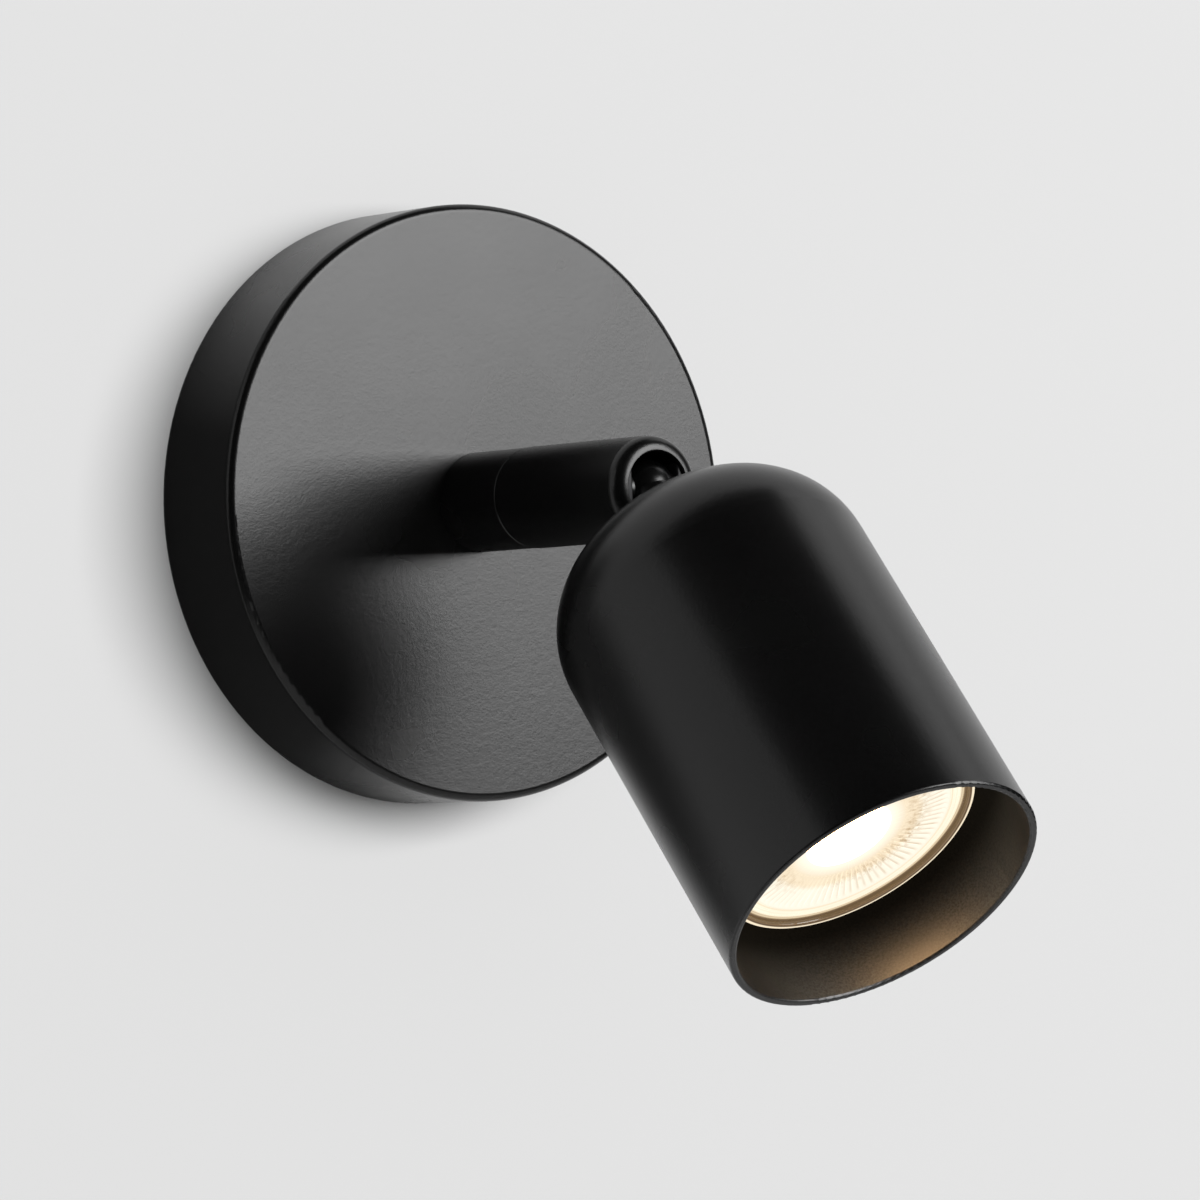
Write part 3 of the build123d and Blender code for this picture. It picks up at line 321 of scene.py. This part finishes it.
# ---------------------------------------------------------------- shared effects
def make_grain_group():
    """Fine grain of a coat or a moulded skin, with a faint large mottle.

    Height is two noises, one at the grain's size and one three times coarser. Shift is the
    departure of roughness from its plain value, and Tint the share of the lighter colour.
    """
    inputs = {"Grain per Metre": 2600.0, "Mottle per Metre": 24.0, "Shift": 0.05}
    outputs = dict.fromkeys(("Height", "Roughness Shift", "Tint"), "NodeSocketFloat")
    group, entry, leave = new_group("surface_grain", inputs, outputs)
    place = object_place(group)
    fine = noise(group, place, entry.outputs["Grain per Metre"], 2.0, 0.55)
    coarse_scale = arithmetic(group, "MULTIPLY", entry.outputs["Grain per Metre"], 0.33)
    coarse = noise(group, place, coarse_scale, 1.0, 0.5)
    mottle = noise(group, place, entry.outputs["Mottle per Metre"], 3.0, 0.6)
    height = arithmetic(group, "MULTIPLY_ADD", fine, 0.7, arithmetic(group, "MULTIPLY", coarse, 0.6))
    centred = arithmetic(group, "SUBTRACT", mottle, 0.5)
    shift = arithmetic(group, "MULTIPLY", centred, entry.outputs["Shift"])
    tint = remap(group, arithmetic(group, "ADD", fine, centred), 0.25, 0.85, 0.0, 1.0)
    group.links.new(height, leave.inputs["Height"])
    group.links.new(shift, leave.inputs["Roughness Shift"])
    group.links.new(tint, leave.inputs["Tint"])
    return group


def make_lamp_polar_group():
    """Place round the lamp's axis: Radius and Along in millimetres, and Angle in radians."""
    outputs = dict.fromkeys(("Radius", "Angle", "Along"), "NodeSocketFloat")
    group, _, leave = new_group("lamp_polar", {}, outputs)
    turn = Vector((0, 0, 1)).rotation_difference(head_axis).to_euler()
    values = {"Vector": object_place(group), "Location": tilt_pivot, "Rotation": turn}
    local = add_node(group, "ShaderNodeMapping", values, vector_type="TEXTURE").outputs[0]
    parts = add_node(group, "ShaderNodeSeparateXYZ", {0: local}).outputs
    across = arithmetic(group, "MULTIPLY", parts["X"], parts["X"])
    squared = arithmetic(group, "MULTIPLY_ADD", parts["Y"], parts["Y"], across)
    radius = arithmetic(group, "MULTIPLY", arithmetic(group, "SQRT", squared), 1 / mm)
    angle = arithmetic(group, "ARCTAN2", parts["Y"], parts["X"])
    group.links.new(radius, leave.inputs["Radius"])
    group.links.new(angle, leave.inputs["Angle"])
    group.links.new(arithmetic(group, "MULTIPLY", parts["Z"], 1 / mm), leave.inputs["Along"])
    return group


grain_group = make_grain_group()
lamp_polar_group = make_lamp_polar_group()


# ---------------------------------------------------------------- materials
def new_material(name):
    """A material with its Principled shader and output, and nothing else."""
    material = bpy.data.materials.new(name)
    material.use_nodes = True
    tree = material.node_tree
    tree.nodes.clear()
    shader = tree.nodes.new("ShaderNodeBsdfPrincipled")
    output = tree.nodes.new("ShaderNodeOutputMaterial")
    tree.links.new(shader.outputs[0], output.inputs["Surface"])
    return material, tree, shader


def grained_material(
    name, colour, lighter, roughness, grain, bump, metallic=0.0, shift=0.05, mottle=24.0, specular=0.5
):
    """A surface with grain: two close colours, uneven roughness and a fine bump."""
    material, tree, shader = new_material(name)
    effect = add_node(tree, "ShaderNodeGroup", node_tree=grain_group)
    effect.inputs["Grain per Metre"].default_value = grain
    effect.inputs["Mottle per Metre"].default_value = mottle
    effect.inputs["Shift"].default_value = shift
    tint = blend_colours(tree, effect.outputs["Tint"], as_colour(colour), as_colour(lighter))
    rough = arithmetic(tree, "ADD", effect.outputs["Roughness Shift"], roughness)
    relief = {"Height": effect.outputs["Height"], "Distance": bump, "Strength": 1.0}
    bumped = add_node(tree, "ShaderNodeBump", relief).outputs[0]
    tree.links.new(tint, shader.inputs["Base Color"])
    tree.links.new(rough, shader.inputs["Roughness"])
    tree.links.new(bumped, shader.inputs["Normal"])
    shader.inputs["Metallic"].default_value = metallic
    shader.inputs["Specular IOR Level"].default_value = specular
    return material

# the head's inside, in millimetres: which part of the shell it is, its dull dark coat, and painted shade and
# sheen, with reflections weak by the lamp and strong at the lip
inside_radii = (29.2, 29.6)        # the share falls from one to nought between these radii
inside_start = (50.0, 52.0)        # and rises over these distances along the head
inside_dark = (0.0015, 0.0013, 0.0011)
inside_light = (0.005, 0.0038, 0.0026)
inside_roughness = (0.32, 0.46)
painted_shade_gloss_at_lamp = 0.03          # specular level at the lamp's face
painted_sheen_gloss_to_lip = 0.72           # and what the lip has more
inside_gloss_power = 1.8
inside_gloss_speckle = (0.7, 1.35)
speckle_per_metre = 2400.0
speckle_range = (0.3, 0.7)         # most of a noise's values lie between these
coat_specular = 0.35


def roughen_and_shade_the_inside(material):
    """Makes the coat rougher inside the head's mouth, and paints shade and sheen: reflections dull round the lamp
    and glossier to the lip.
    """
    tree = material.node_tree
    shader = [node for node in tree.nodes if node.type == "BSDF_PRINCIPLED"][0]
    polar = add_node(tree, "ShaderNodeGroup", node_tree=lamp_polar_group).outputs
    within = remap(tree, polar["Radius"], *inside_radii, 1.0, 0.0)
    beyond = remap(tree, polar["Along"], *inside_start, 0.0, 1.0)
    share = arithmetic(tree, "MULTIPLY", within, beyond)
    speckle = noise(tree, object_place(tree), speckle_per_metre, 2.0, 0.6)
    outside = shader.inputs["Base Color"].links[0].from_socket
    inside = blend_colours(tree, speckle, as_colour(inside_dark), as_colour(inside_light))
    tree.links.new(blend_colours(tree, share, outside, inside), shader.inputs["Base Color"])
    smooth = shader.inputs["Roughness"].links[0].from_socket
    rough = remap(tree, speckle, *speckle_range, *inside_roughness)
    mixed = add_node(tree, "ShaderNodeMix", {"Factor": share, 2: smooth, 3: rough}).outputs[0]
    tree.links.new(mixed, shader.inputs["Roughness"])
    lamp_face = reach("lens_ring", tilt_pivot, head_axis)[1] / mm
    mouth = reach("head_shell", tilt_pivot, head_axis)[1] / mm
    # painted shade and sheen: the specular level rises from the lamp's face to the lip, standing in for where the
    # lamp's light falls
    depth = remap(tree, polar["Along"], lamp_face, mouth, 0.0, 1.0)
    painted_sheen_share = arithmetic(tree, "POWER", depth, inside_gloss_power)
    gloss = arithmetic(tree, "MULTIPLY_ADD", painted_sheen_share, painted_sheen_gloss_to_lip, painted_shade_gloss_at_lamp)
    patchy = remap(tree, speckle, *speckle_range, *inside_gloss_speckle)
    gloss = arithmetic(tree, "MULTIPLY", gloss, patchy)
    level = add_node(tree, "ShaderNodeMix", {"Factor": share, 2: coat_specular, 3: gloss}).outputs[0]
    tree.links.new(level, shader.inputs["Specular IOR Level"])
    return material


# the light of the lamp's front by radius in millimetres, where 1 is white
lens_ramp_radius = 24.0
lens_stops = (
    (7.7, (22.0, 13.2, 6.4)),
    (8.5, (1.15, 1.02, 0.84)),
    (10.6, (0.94, 0.84, 0.66)),
    (11.6, (0.90, 0.76, 0.55)),
    (14.0, (0.92, 0.78, 0.57)),
    (15.4, (0.99, 0.93, 0.78)),
    (20.2, (1.00, 0.93, 0.78)),
    (20.9, (0.88, 0.76, 0.55)),
    (21.3, (0.98, 0.90, 0.72)),
    (21.8, (0.95, 0.85, 0.65)),
    (22.2, (0.98, 0.90, 0.72)),
)
# painted light on the trim and the glass rim, which are no lamps: emission by radius in millimetres that paints
# their glow, highlight rings and shaded rings
rim_ramp_start = 20.0
rim_ramp_width = 6.0
painted_trim_glow_stops = (
    (22.60, (0.95, 0.85, 0.65)),
    (22.85, (0.62, 0.48, 0.31)),
    (23.10, (0.82, 0.68, 0.46)),
    (23.35, (0.26, 0.165, 0.08)),
    (23.50, (0.12, 0.07, 0.028)),
)
painted_glass_rim_glow_stops = (
    (23.70, (0.11, 0.065, 0.025)),
    (23.85, (0.22, 0.14, 0.07)),
    (24.00, (0.09, 0.05, 0.02)),
    (24.20, (0.14, 0.085, 0.04)),
    (24.36, (1.00, 0.86, 0.64)),
)
# painted refraction highlights: tan streaks along the flutes and blotches at their inner ends, in the lens's
# emission
painted_streak_colour = (0.56, 0.40, 0.23)
streak_rise, streak_fall = (12.2, 14.0), (18.6, 20.0)      # fine streaks along the flutes
blotch_rise, blotch_fall = (11.4, 13.0), (15.4, 17.4)      # short blotches at their inner ends
streak_wander = 7.0                # noise place per radian
streak_scale = 3.0
streak_roughness = 0.7
streak_range = (0.50, 1.0)         # of flute and noise together, from no streak to the strongest
streak_strength = 0.75
flute_weight = 0.35                # what the flutes add to the streaks' noise
blotch_wander = 11.0
blotch_length = 0.30               # noise place per millimetre of radius
blotch_scale = 1.9
blotch_roughness = 0.65
blotch_range = (0.44, 0.66)        # of the noise, from no blotch to a full one
lobe_power = 0.8
lens_base_colour = (0.10, 0.09, 0.08)
lens_roughness = (0.18, 0.34)
rim_grain_per_metre = 900.0
rim_dark = (0.03, 0.025, 0.02)
rim_light = (0.05, 0.04, 0.03)
rim_roughness_spread = 0.06


def fill_ramp(ramp, stops, start, width):
    """Colour stops at radii, on a ramp that starts at one radius and is so many wide."""
    while len(ramp.elements) > 1:
        ramp.elements.remove(ramp.elements[-1])
    ramp.elements[0].position = (stops[0][0] - start) / width
    ramp.elements[0].color = as_colour(stops[0][1])
    for place, colour in stops[1:]:
        ramp.elements.new((place - start) / width).color = as_colour(colour)


def make_lens_material():
    """Clear ribbed lens, its glow painted as emission: a white middle, tan streaks between flutes, cream ridges.

    Fine streaks follow the flutes and short blotches break up their inner ends, both painted
    refraction highlights, strongest to the left and right, where the lobes |cos(angle)| are highest.
    """
    material, tree, shader = new_material("lit_lens")
    polar = add_node(tree, "ShaderNodeGroup", node_tree=lamp_polar_group).outputs
    radius, angle = polar["Radius"], polar["Angle"]
    flute = arithmetic(tree, "COSINE", arithmetic(tree, "MULTIPLY", angle, float(flute_count)))
    lobes = arithmetic(tree, "ABSOLUTE", arithmetic(tree, "COSINE", angle))
    turn = {0: arithmetic(tree, "MULTIPLY", angle, streak_wander)}
    turn_place = add_node(tree, "ShaderNodeCombineXYZ", turn).outputs[0]
    uneven = noise(tree, turn_place, streak_scale, 3.0, streak_roughness)
    dashes = {
        0: arithmetic(tree, "MULTIPLY", angle, blotch_wander),
        1: arithmetic(tree, "MULTIPLY", radius, blotch_length),
    }
    dash_place = add_node(tree, "ShaderNodeCombineXYZ", dashes).outputs[0]
    patches = noise(tree, dash_place, blotch_scale, 3.0, blotch_roughness)
    blotch = remap(tree, patches, *blotch_range, 0.0, 1.0)
    line = arithmetic(tree, "ADD", arithmetic(tree, "MULTIPLY", flute, flute_weight), uneven)
    line = remap(tree, line, *streak_range, 0.0, streak_strength)
    lines = arithmetic(tree, "MULTIPLY", line, band(tree, radius, streak_rise, streak_fall))
    blotches = arithmetic(tree, "MULTIPLY", blotch, band(tree, radius, blotch_rise, blotch_fall))
    streak = arithmetic(tree, "MAXIMUM", lines, blotches)
    streak = arithmetic(tree, "MULTIPLY", streak, arithmetic(tree, "POWER", lobes, lobe_power))
    place = remap(tree, radius, 0.0, lens_ramp_radius, 0.0, 1.0)
    plain = add_node(tree, "ShaderNodeValToRGB", {0: place})
    fill_ramp(plain.color_ramp, lens_stops, 0.0, lens_ramp_radius)
    glow = blend_colours(tree, streak, plain.outputs["Color"], as_colour(painted_streak_colour))
    tree.links.new(glow, shader.inputs["Emission Color"])
    shader.inputs["Emission Strength"].default_value = 1.0
    shader.inputs["Base Color"].default_value = as_colour(lens_base_colour)
    tree.links.new(remap(tree, uneven, 0.0, 1.0, *lens_roughness), shader.inputs["Roughness"])
    return material


def make_rim_material(name, stops, roughness):
    """Glass or trim ring round the lens with painted light: an emission colour for each radius paints its glow,
    its bright rings and its dark rings.
    """
    material, tree, shader = new_material(name)
    polar = add_node(tree, "ShaderNodeGroup", node_tree=lamp_polar_group).outputs
    rim_ramp_end = rim_ramp_start + rim_ramp_width
    place = remap(tree, polar["Radius"], rim_ramp_start, rim_ramp_end, 0.0, 1.0)
    ramp = add_node(tree, "ShaderNodeValToRGB", {0: place})
    fill_ramp(ramp.color_ramp, stops, rim_ramp_start, rim_ramp_width)
    grain = noise(tree, object_place(tree), rim_grain_per_metre, 2.0, 0.5)
    least, most = roughness - rim_roughness_spread, roughness + rim_roughness_spread
    rough = remap(tree, grain, *speckle_range, least, most)
    tint = blend_colours(tree, grain, as_colour(rim_dark), as_colour(rim_light))
    tree.links.new(ramp.outputs["Color"], shader.inputs["Emission Color"])
    tree.links.new(rough, shader.inputs["Roughness"])
    tree.links.new(tint, shader.inputs["Base Color"])
    shader.inputs["Emission Strength"].default_value = 1.0
    return material


def make_earth_material():
    """Green insulation with a yellow stripe down one side."""
    material, tree, shader = new_material("earth_insulation")
    parts = add_node(tree, "ShaderNodeSeparateXYZ", {0: object_place(tree)}).outputs
    low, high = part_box("earth_lead")
    middle = (low.x + high.x) / 2
    stripe = remap(tree, parts["X"], middle - 0.15 * mm, middle + 0.15 * mm, 0.0, 1.0)
    tint = blend_colours(tree, stripe, as_colour((0.05, 0.30, 0.05)), as_colour((0.70, 0.62, 0.05)))
    tree.links.new(tint, shader.inputs["Base Color"])
    grain = noise(tree, object_place(tree), 1500.0)
    tree.links.new(remap(tree, grain, *speckle_range, 0.32, 0.44), shader.inputs["Roughness"])
    return material


# satin black coat: its own colour, the grain's lighter colour, roughness and grain
coat = {
    "colour": (0.002, 0.002, 0.002),
    "lighter": (0.004, 0.004, 0.004),
    "roughness": 0.27,
    "grain": 2600.0,
    "bump": 0.022 * mm,
    "shift": 0.07,
    "specular": coat_specular,
}

# by material slot: name, colour, lighter colour, roughness, grain per metre, bump in
# millimetres, and metallic, roughness shift and mottle where they differ from the plain ones
grained_finishes = {
    "zinc_plated_steel": (
        "zinc_plate", (0.52, 0.53, 0.55), (0.66, 0.66, 0.66), 0.34, 1400.0, 0.01, 1.0, 0.2, 60.0
    ),
    "blackened_steel": (
        "blackened_steel", (0.012, 0.012, 0.013), (0.02, 0.02, 0.021), 0.42, 1800.0, 0.01, 0.6, 0.1
    ),
    "spring_steel": (
        "spring_steel", (0.20, 0.20, 0.21), (0.30, 0.30, 0.31), 0.38, 1800.0, 0.01, 1.0, 0.1
    ),
    "terminal_brass": (
        "brass", (0.66, 0.50, 0.24), (0.78, 0.62, 0.34), 0.30, 1400.0, 0.01, 1.0, 0.15, 80.0
    ),
    "tinned_brass": (
        "tin_plate", (0.60, 0.60, 0.58), (0.74, 0.74, 0.72), 0.36, 1400.0, 0.01, 1.0, 0.15, 80.0
    ),
    "terminal_plastic": (
        "terminal_plastic", (0.76, 0.74, 0.66), (0.82, 0.80, 0.73), 0.42, 1800.0, 0.02
    ),
    "bearing_plastic": (
        "bearing_plastic", (0.012, 0.012, 0.012), (0.018, 0.018, 0.018), 0.35, 1800.0, 0.01
    ),
    "brown_insulation": (
        "brown_insulation", (0.16, 0.065, 0.028), (0.20, 0.085, 0.038), 0.38, 1500.0, 0.01
    ),
    "blue_insulation": (
        "blue_insulation", (0.035, 0.12, 0.36), (0.05, 0.15, 0.42), 0.38, 1500.0, 0.01
    ),
    "white_sleeving": (
        "glass_sleeving", (0.66, 0.64, 0.56), (0.80, 0.78, 0.71), 0.62, 3200.0, 0.08
    ),
    "holder_steatite": (
        "steatite", (0.74, 0.70, 0.61), (0.80, 0.77, 0.69), 0.60, 2200.0, 0.04
    ),
    "lamp_plastic": (
        "lamp_plastic", (0.80, 0.79, 0.75), (0.85, 0.84, 0.81), 0.40, 1800.0, 0.02
    ),
    "lamp_pin_metal": (
        "nickel_plate", (0.62, 0.60, 0.57), (0.72, 0.70, 0.67), 0.28, 1400.0, 0.01, 1.0, 0.1
    ),
    "board_white": (
        "white_board", (0.82, 0.82, 0.79), (0.86, 0.86, 0.84), 0.45, 1800.0, 0.01
    ),
    "sink_aluminium": (
        "bare_aluminium", (0.60, 0.60, 0.61), (0.72, 0.72, 0.73), 0.36, 1400.0, 0.01, 1.0, 0.15
    ),
    "emitter_yellow": (
        "phosphor", (0.80, 0.60, 0.16), (0.88, 0.70, 0.24), 0.40, 1800.0, 0.01
    ),
}
head_powder = roughen_and_shade_the_inside(grained_material("black_powder_coat_head", **coat))
finishes = {
    "black_powder_coat": grained_material("black_powder_coat", **coat),
    "earth_insulation": make_earth_material(),
    "reflector_glass": make_rim_material("lit_glass_rim", painted_glass_rim_glow_stops, 0.22),
    "lens_trim": make_rim_material("lit_trim", painted_trim_glow_stops, 0.3),
    "lens_clear": make_lens_material(),
}
for slot, (name, colour, lighter, roughness, grain, bump, *rest) in grained_finishes.items():
    finishes[slot] = grained_material(name, colour, lighter, roughness, grain, bump * mm, *rest)


def coat_piece(piece, material):
    """Gives a piece one material, in place of what it had."""
    piece.data.materials.clear()
    piece.data.materials.append(material)


for row in frame["record"]["subparts"]:
    if row["node"] in nodes:
        coat_piece(nodes[row["node"]], finishes[row["material_slot"]])
coat_piece(nodes["head_shell"], head_powder)
coat_piece(ribbed_lens, finishes["lens_clear"])
coat_piece(lens_trim, finishes["lens_trim"])


# ---------------------------------------------------------------- stage
def one_sided(name, colour, mottle):
    """Plain matt paint on the front of a sheet, and nothing at all on its back."""
    material, tree, shader = new_material(name)
    paint = noise(tree, object_place(tree), mottle, 2.0)
    darker = tuple(paint_shade * part for part in colour)
    tint = blend_colours(tree, paint, as_colour(darker), as_colour(colour))
    tree.links.new(tint, shader.inputs["Base Color"])
    shader.inputs["Roughness"].default_value = 0.9
    shader.inputs["Specular IOR Level"].default_value = 0.0
    clear = tree.nodes.new("ShaderNodeBsdfTransparent").outputs[0]
    side = tree.nodes.new("ShaderNodeNewGeometry").outputs["Backfacing"]
    mixed = add_node(tree, "ShaderNodeMixShader", {0: side, 1: shader.outputs[0], 2: clear})
    output = [node for node in tree.nodes if node.type == "OUTPUT_MATERIAL"][0]
    tree.links.new(mixed.outputs[0], output.inputs["Surface"])
    return material


def stage_sheet(name, points, quads, material):
    """A sheet of the stage, facing the way its corners run."""
    mesh = bpy.data.meshes.new(name)
    mesh.from_pydata([tuple(point) for point in points], [], quads)
    sheet = bpy.data.objects.new(name, mesh)
    bpy.context.scene.collection.objects.link(sheet)
    mesh.materials.append(material)
    return sheet


def show_in_reflections_alone(sheet):
    """Hides a sheet from the camera and from matt surfaces, and lets light pass through it."""
    sheet.visible_camera = False
    sheet.visible_diffuse = False
    sheet.visible_shadow = False


def make_wall():
    """Square wall with a round hole inside the plate's rim, so the light's back is open behind it.

    The hole and the outer edge are two rings of points at the same angles, and the outer
    ring is pushed out to a square.
    """
    _, _, _, plate_radius = reach("back_plate", (0, 0, 0), wall_axis)
    angle = np.linspace(0, 2 * pi, wall_sides, endpoint=False)
    ring = np.stack((np.cos(angle), 0 * angle, np.sin(angle)), axis=1)
    square = ring / np.abs(ring).max(axis=1, keepdims=True)
    inner = ring * (plate_radius - wall_hole_inset)
    outer = square * wall_size / 2
    step = np.arange(wall_sides)
    after = (step + 1) % wall_sides
    quads = np.stack((step, step + wall_sides, after + wall_sides, after), axis=1)
    material = one_sided("wall_paint", wall_colour, 3.0)
    return stage_sheet("wall", np.vstack((inner, outer)), quads.tolist(), material)


def make_floor():
    """Pale floor below the light, from the wall into the room."""
    half = wall_size / 2
    points = [
        (-half, 0, -floor_drop),
        (-half, -wall_size, -floor_drop),
        (half, -wall_size, -floor_drop),
        (half, 0, -floor_drop),
    ]
    paint = one_sided("floor_paint", floor_colour, 2.0)
    return stage_sheet("floor", points, [(0, 1, 2, 3)], paint)


def make_card_material():
    """Black card of painted shadow, whose Alpha fades out at both ends of its sector and at its outer edge."""
    material, tree, shader = new_material("reflected_shadow_paint")
    place = object_place(tree)
    weave = noise(tree, place, 30.0)
    lighter = tuple(card_lighter * part for part in painted_shadow_colour)
    tint = blend_colours(tree, weave, as_colour(painted_shadow_colour), as_colour(lighter))
    tree.links.new(tint, shader.inputs["Base Color"])
    parts = add_node(tree, "ShaderNodeSeparateXYZ", {0: place}).outputs
    lean = radians(sum(card_angles) / 2)
    toward = arithmetic(tree, "MULTIPLY", parts["X"], cos(lean))
    toward = arithmetic(tree, "MULTIPLY_ADD", parts["Z"], sin(lean), toward)
    length = add_node(tree, "ShaderNodeVectorMath", {0: place}, operation="LENGTH")
    distance = length.outputs["Value"]
    facing = arithmetic(tree, "DIVIDE", toward, distance)
    half = radians(card_angles[1] - card_angles[0]) / 2
    sides = remap(tree, facing, cos(half), cos(half - radians(card_fade)), 0.0, 1.0)
    edge = remap(tree, distance, card_radius - card_edge_fade, card_radius, 1.0, 0.0)
    tree.links.new(arithmetic(tree, "MULTIPLY", sides, edge), shader.inputs["Alpha"])
    shader.inputs["Roughness"].default_value = 1.0
    shader.inputs["Specular IOR Level"].default_value = 0.0
    return material


def lay_reflected_wall_shadow():
    """Black card of painted shadow round the plate's lower left, a sector of a ring, that shows in reflections
    alone.

    Radii run from the plate's rim to the card's edge and angles over the sector, both evenly.
    It keeps the plate's rim and the head's left side as dark as in the photograph.
    """
    _, _, _, plate_radius = reach("back_plate", (0, 0, 0), wall_axis)
    angle = np.radians(np.linspace(*card_angles, card_columns))[None]
    radius = np.linspace(plate_radius, card_radius, card_rows)[:, None]
    depth = card_gap + 0 * radius * angle
    points = np.stack((radius * np.cos(angle), depth, radius * np.sin(angle)), axis=-1)
    quads = grid_quads(card_rows, card_columns, False, False)[:, ::-1]
    card = stage_sheet("painted_shadow_sheet", points.reshape(-1, 3), quads.tolist(), make_card_material())
    show_in_reflections_alone(card)


def make_dark_room():
    """Half a globe of black cloth round the room side, that shows in reflections alone.

    A grid of lean from straight out of the wall and turn about that line, on a globe. The
    black coat mirrors it as a dark room, while the wall and the background keep their light.
    """
    lean = np.linspace(0, 0.5 * pi, dark_room_rows)[:, None]
    turn = np.linspace(0, 2 * pi, dark_room_columns, endpoint=False)[None]
    across = np.sin(lean) * np.cos(turn)
    up = np.sin(lean) * np.sin(turn)
    points = dark_room_radius * np.stack((across, -np.cos(lean) + 0 * turn, up), axis=-1)
    quads = grid_quads(dark_room_rows, dark_room_columns, False, True)
    material, _, shader = new_material("black_cloth")
    shader.inputs["Base Color"].default_value = as_colour(cloth_colour)
    shader.inputs["Roughness"].default_value = 1.0
    shader.inputs["Specular IOR Level"].default_value = 0.0
    room = stage_sheet("dark_room", points.reshape(-1, 3), quads.tolist(), material)
    show_in_reflections_alone(room)


wall = make_wall()
make_floor()
lay_reflected_wall_shadow()


# ---------------------------------------------------------------- light and camera
target = Vector((0, -0.05, -0.01))     # what the softboxes point at
energy_per_area = 4                    # lamp energy for a softbox of level 1 and 1 square metre


def room_direction(azimuth, elevation):
    """Direction into the room: azimuth 0 is straight out of the wall, 90 to the right."""
    a, e = radians(azimuth), radians(elevation)
    return Vector((sin(a) * cos(e), -cos(a) * cos(e), sin(e)))


def softbox(name, azimuth, elevation, distance, width, height, level, gloss, matt):
    """A rectangular lamp; level is its brightness, and width and height are in metres.

    gloss and matt say whether it shows in reflections and whether it lights matt surfaces.
    """
    light = bpy.data.lights.new(name, "AREA")
    light.shape = "RECTANGLE"
    light.size = width
    light.size_y = height
    light.energy = level * width * height * energy_per_area
    lamp = bpy.data.objects.new(name, light)
    bpy.context.scene.collection.objects.link(lamp)
    lamp.location = target + room_direction(azimuth, elevation) * distance
    lamp.rotation_euler = (target - lamp.location).to_track_quat("-Z", "Y").to_euler()
    lamp.visible_camera = False
    lamp.visible_glossy = gloss
    lamp.visible_diffuse = matt
    return lamp


def light_wall_only(lamp):
    """Keeps a lamp on the wall, where only the back plate throws its shadow."""
    lit = bpy.data.collections.new("lit_by_wall_softbox")
    lit.objects.link(wall)
    shading = bpy.data.collections.new("shading_wall_softbox")
    shading.objects.link(nodes["back_plate"])
    lamp.light_linking.receiver_collection = lit
    lamp.light_linking.blocker_collection = shading


# azimuth and elevation in degrees, distance, width and height in metres, and level
softbox("gloss_softbox", 31, 15.2, 2.4, 1.3, 1.4, 8.1, gloss=True, matt=False)
softbox("right_softbox", 86, 46, 2.4, 0.9, 0.9, 1.0, gloss=True, matt=False)
softbox("left_softbox", -84, 20, 2.4, 0.35, 1.6, 1.0, gloss=True, matt=False)
light_wall_only(softbox("wall_softbox", 13.8, 8.5, 4.0, 4.3, 1.95, 43.5, gloss=False, matt=True))
make_dark_room()

world = bpy.data.worlds.new("room")
bpy.context.scene.world = world
world.use_nodes = True
background = world.node_tree.nodes["Background"]
background.inputs["Color"].default_value = as_colour(room_colour)
background.inputs["Strength"].default_value = 1.0


def make_camera():
    """The photograph's view: the camera's place, right and up, fitted to the outlines."""
    data = bpy.data.cameras.new("photo_camera")
    camera = bpy.data.objects.new("photo_camera", data)
    bpy.context.scene.collection.objects.link(camera)
    backward = camera_right.cross(camera_up)
    turn = Matrix((camera_right, camera_up, backward)).transposed()
    camera.matrix_world = Matrix.Translation(camera_place) @ turn.to_4x4()
    data.sensor_width = sensor_width
    data.lens = focal_pixels / photo_size * sensor_width
    data.clip_start = 0.05
    data.clip_end = 30.0
    bpy.context.scene.camera = camera


make_camera()
bpy.context.scene.view_settings.view_transform = "Standard"
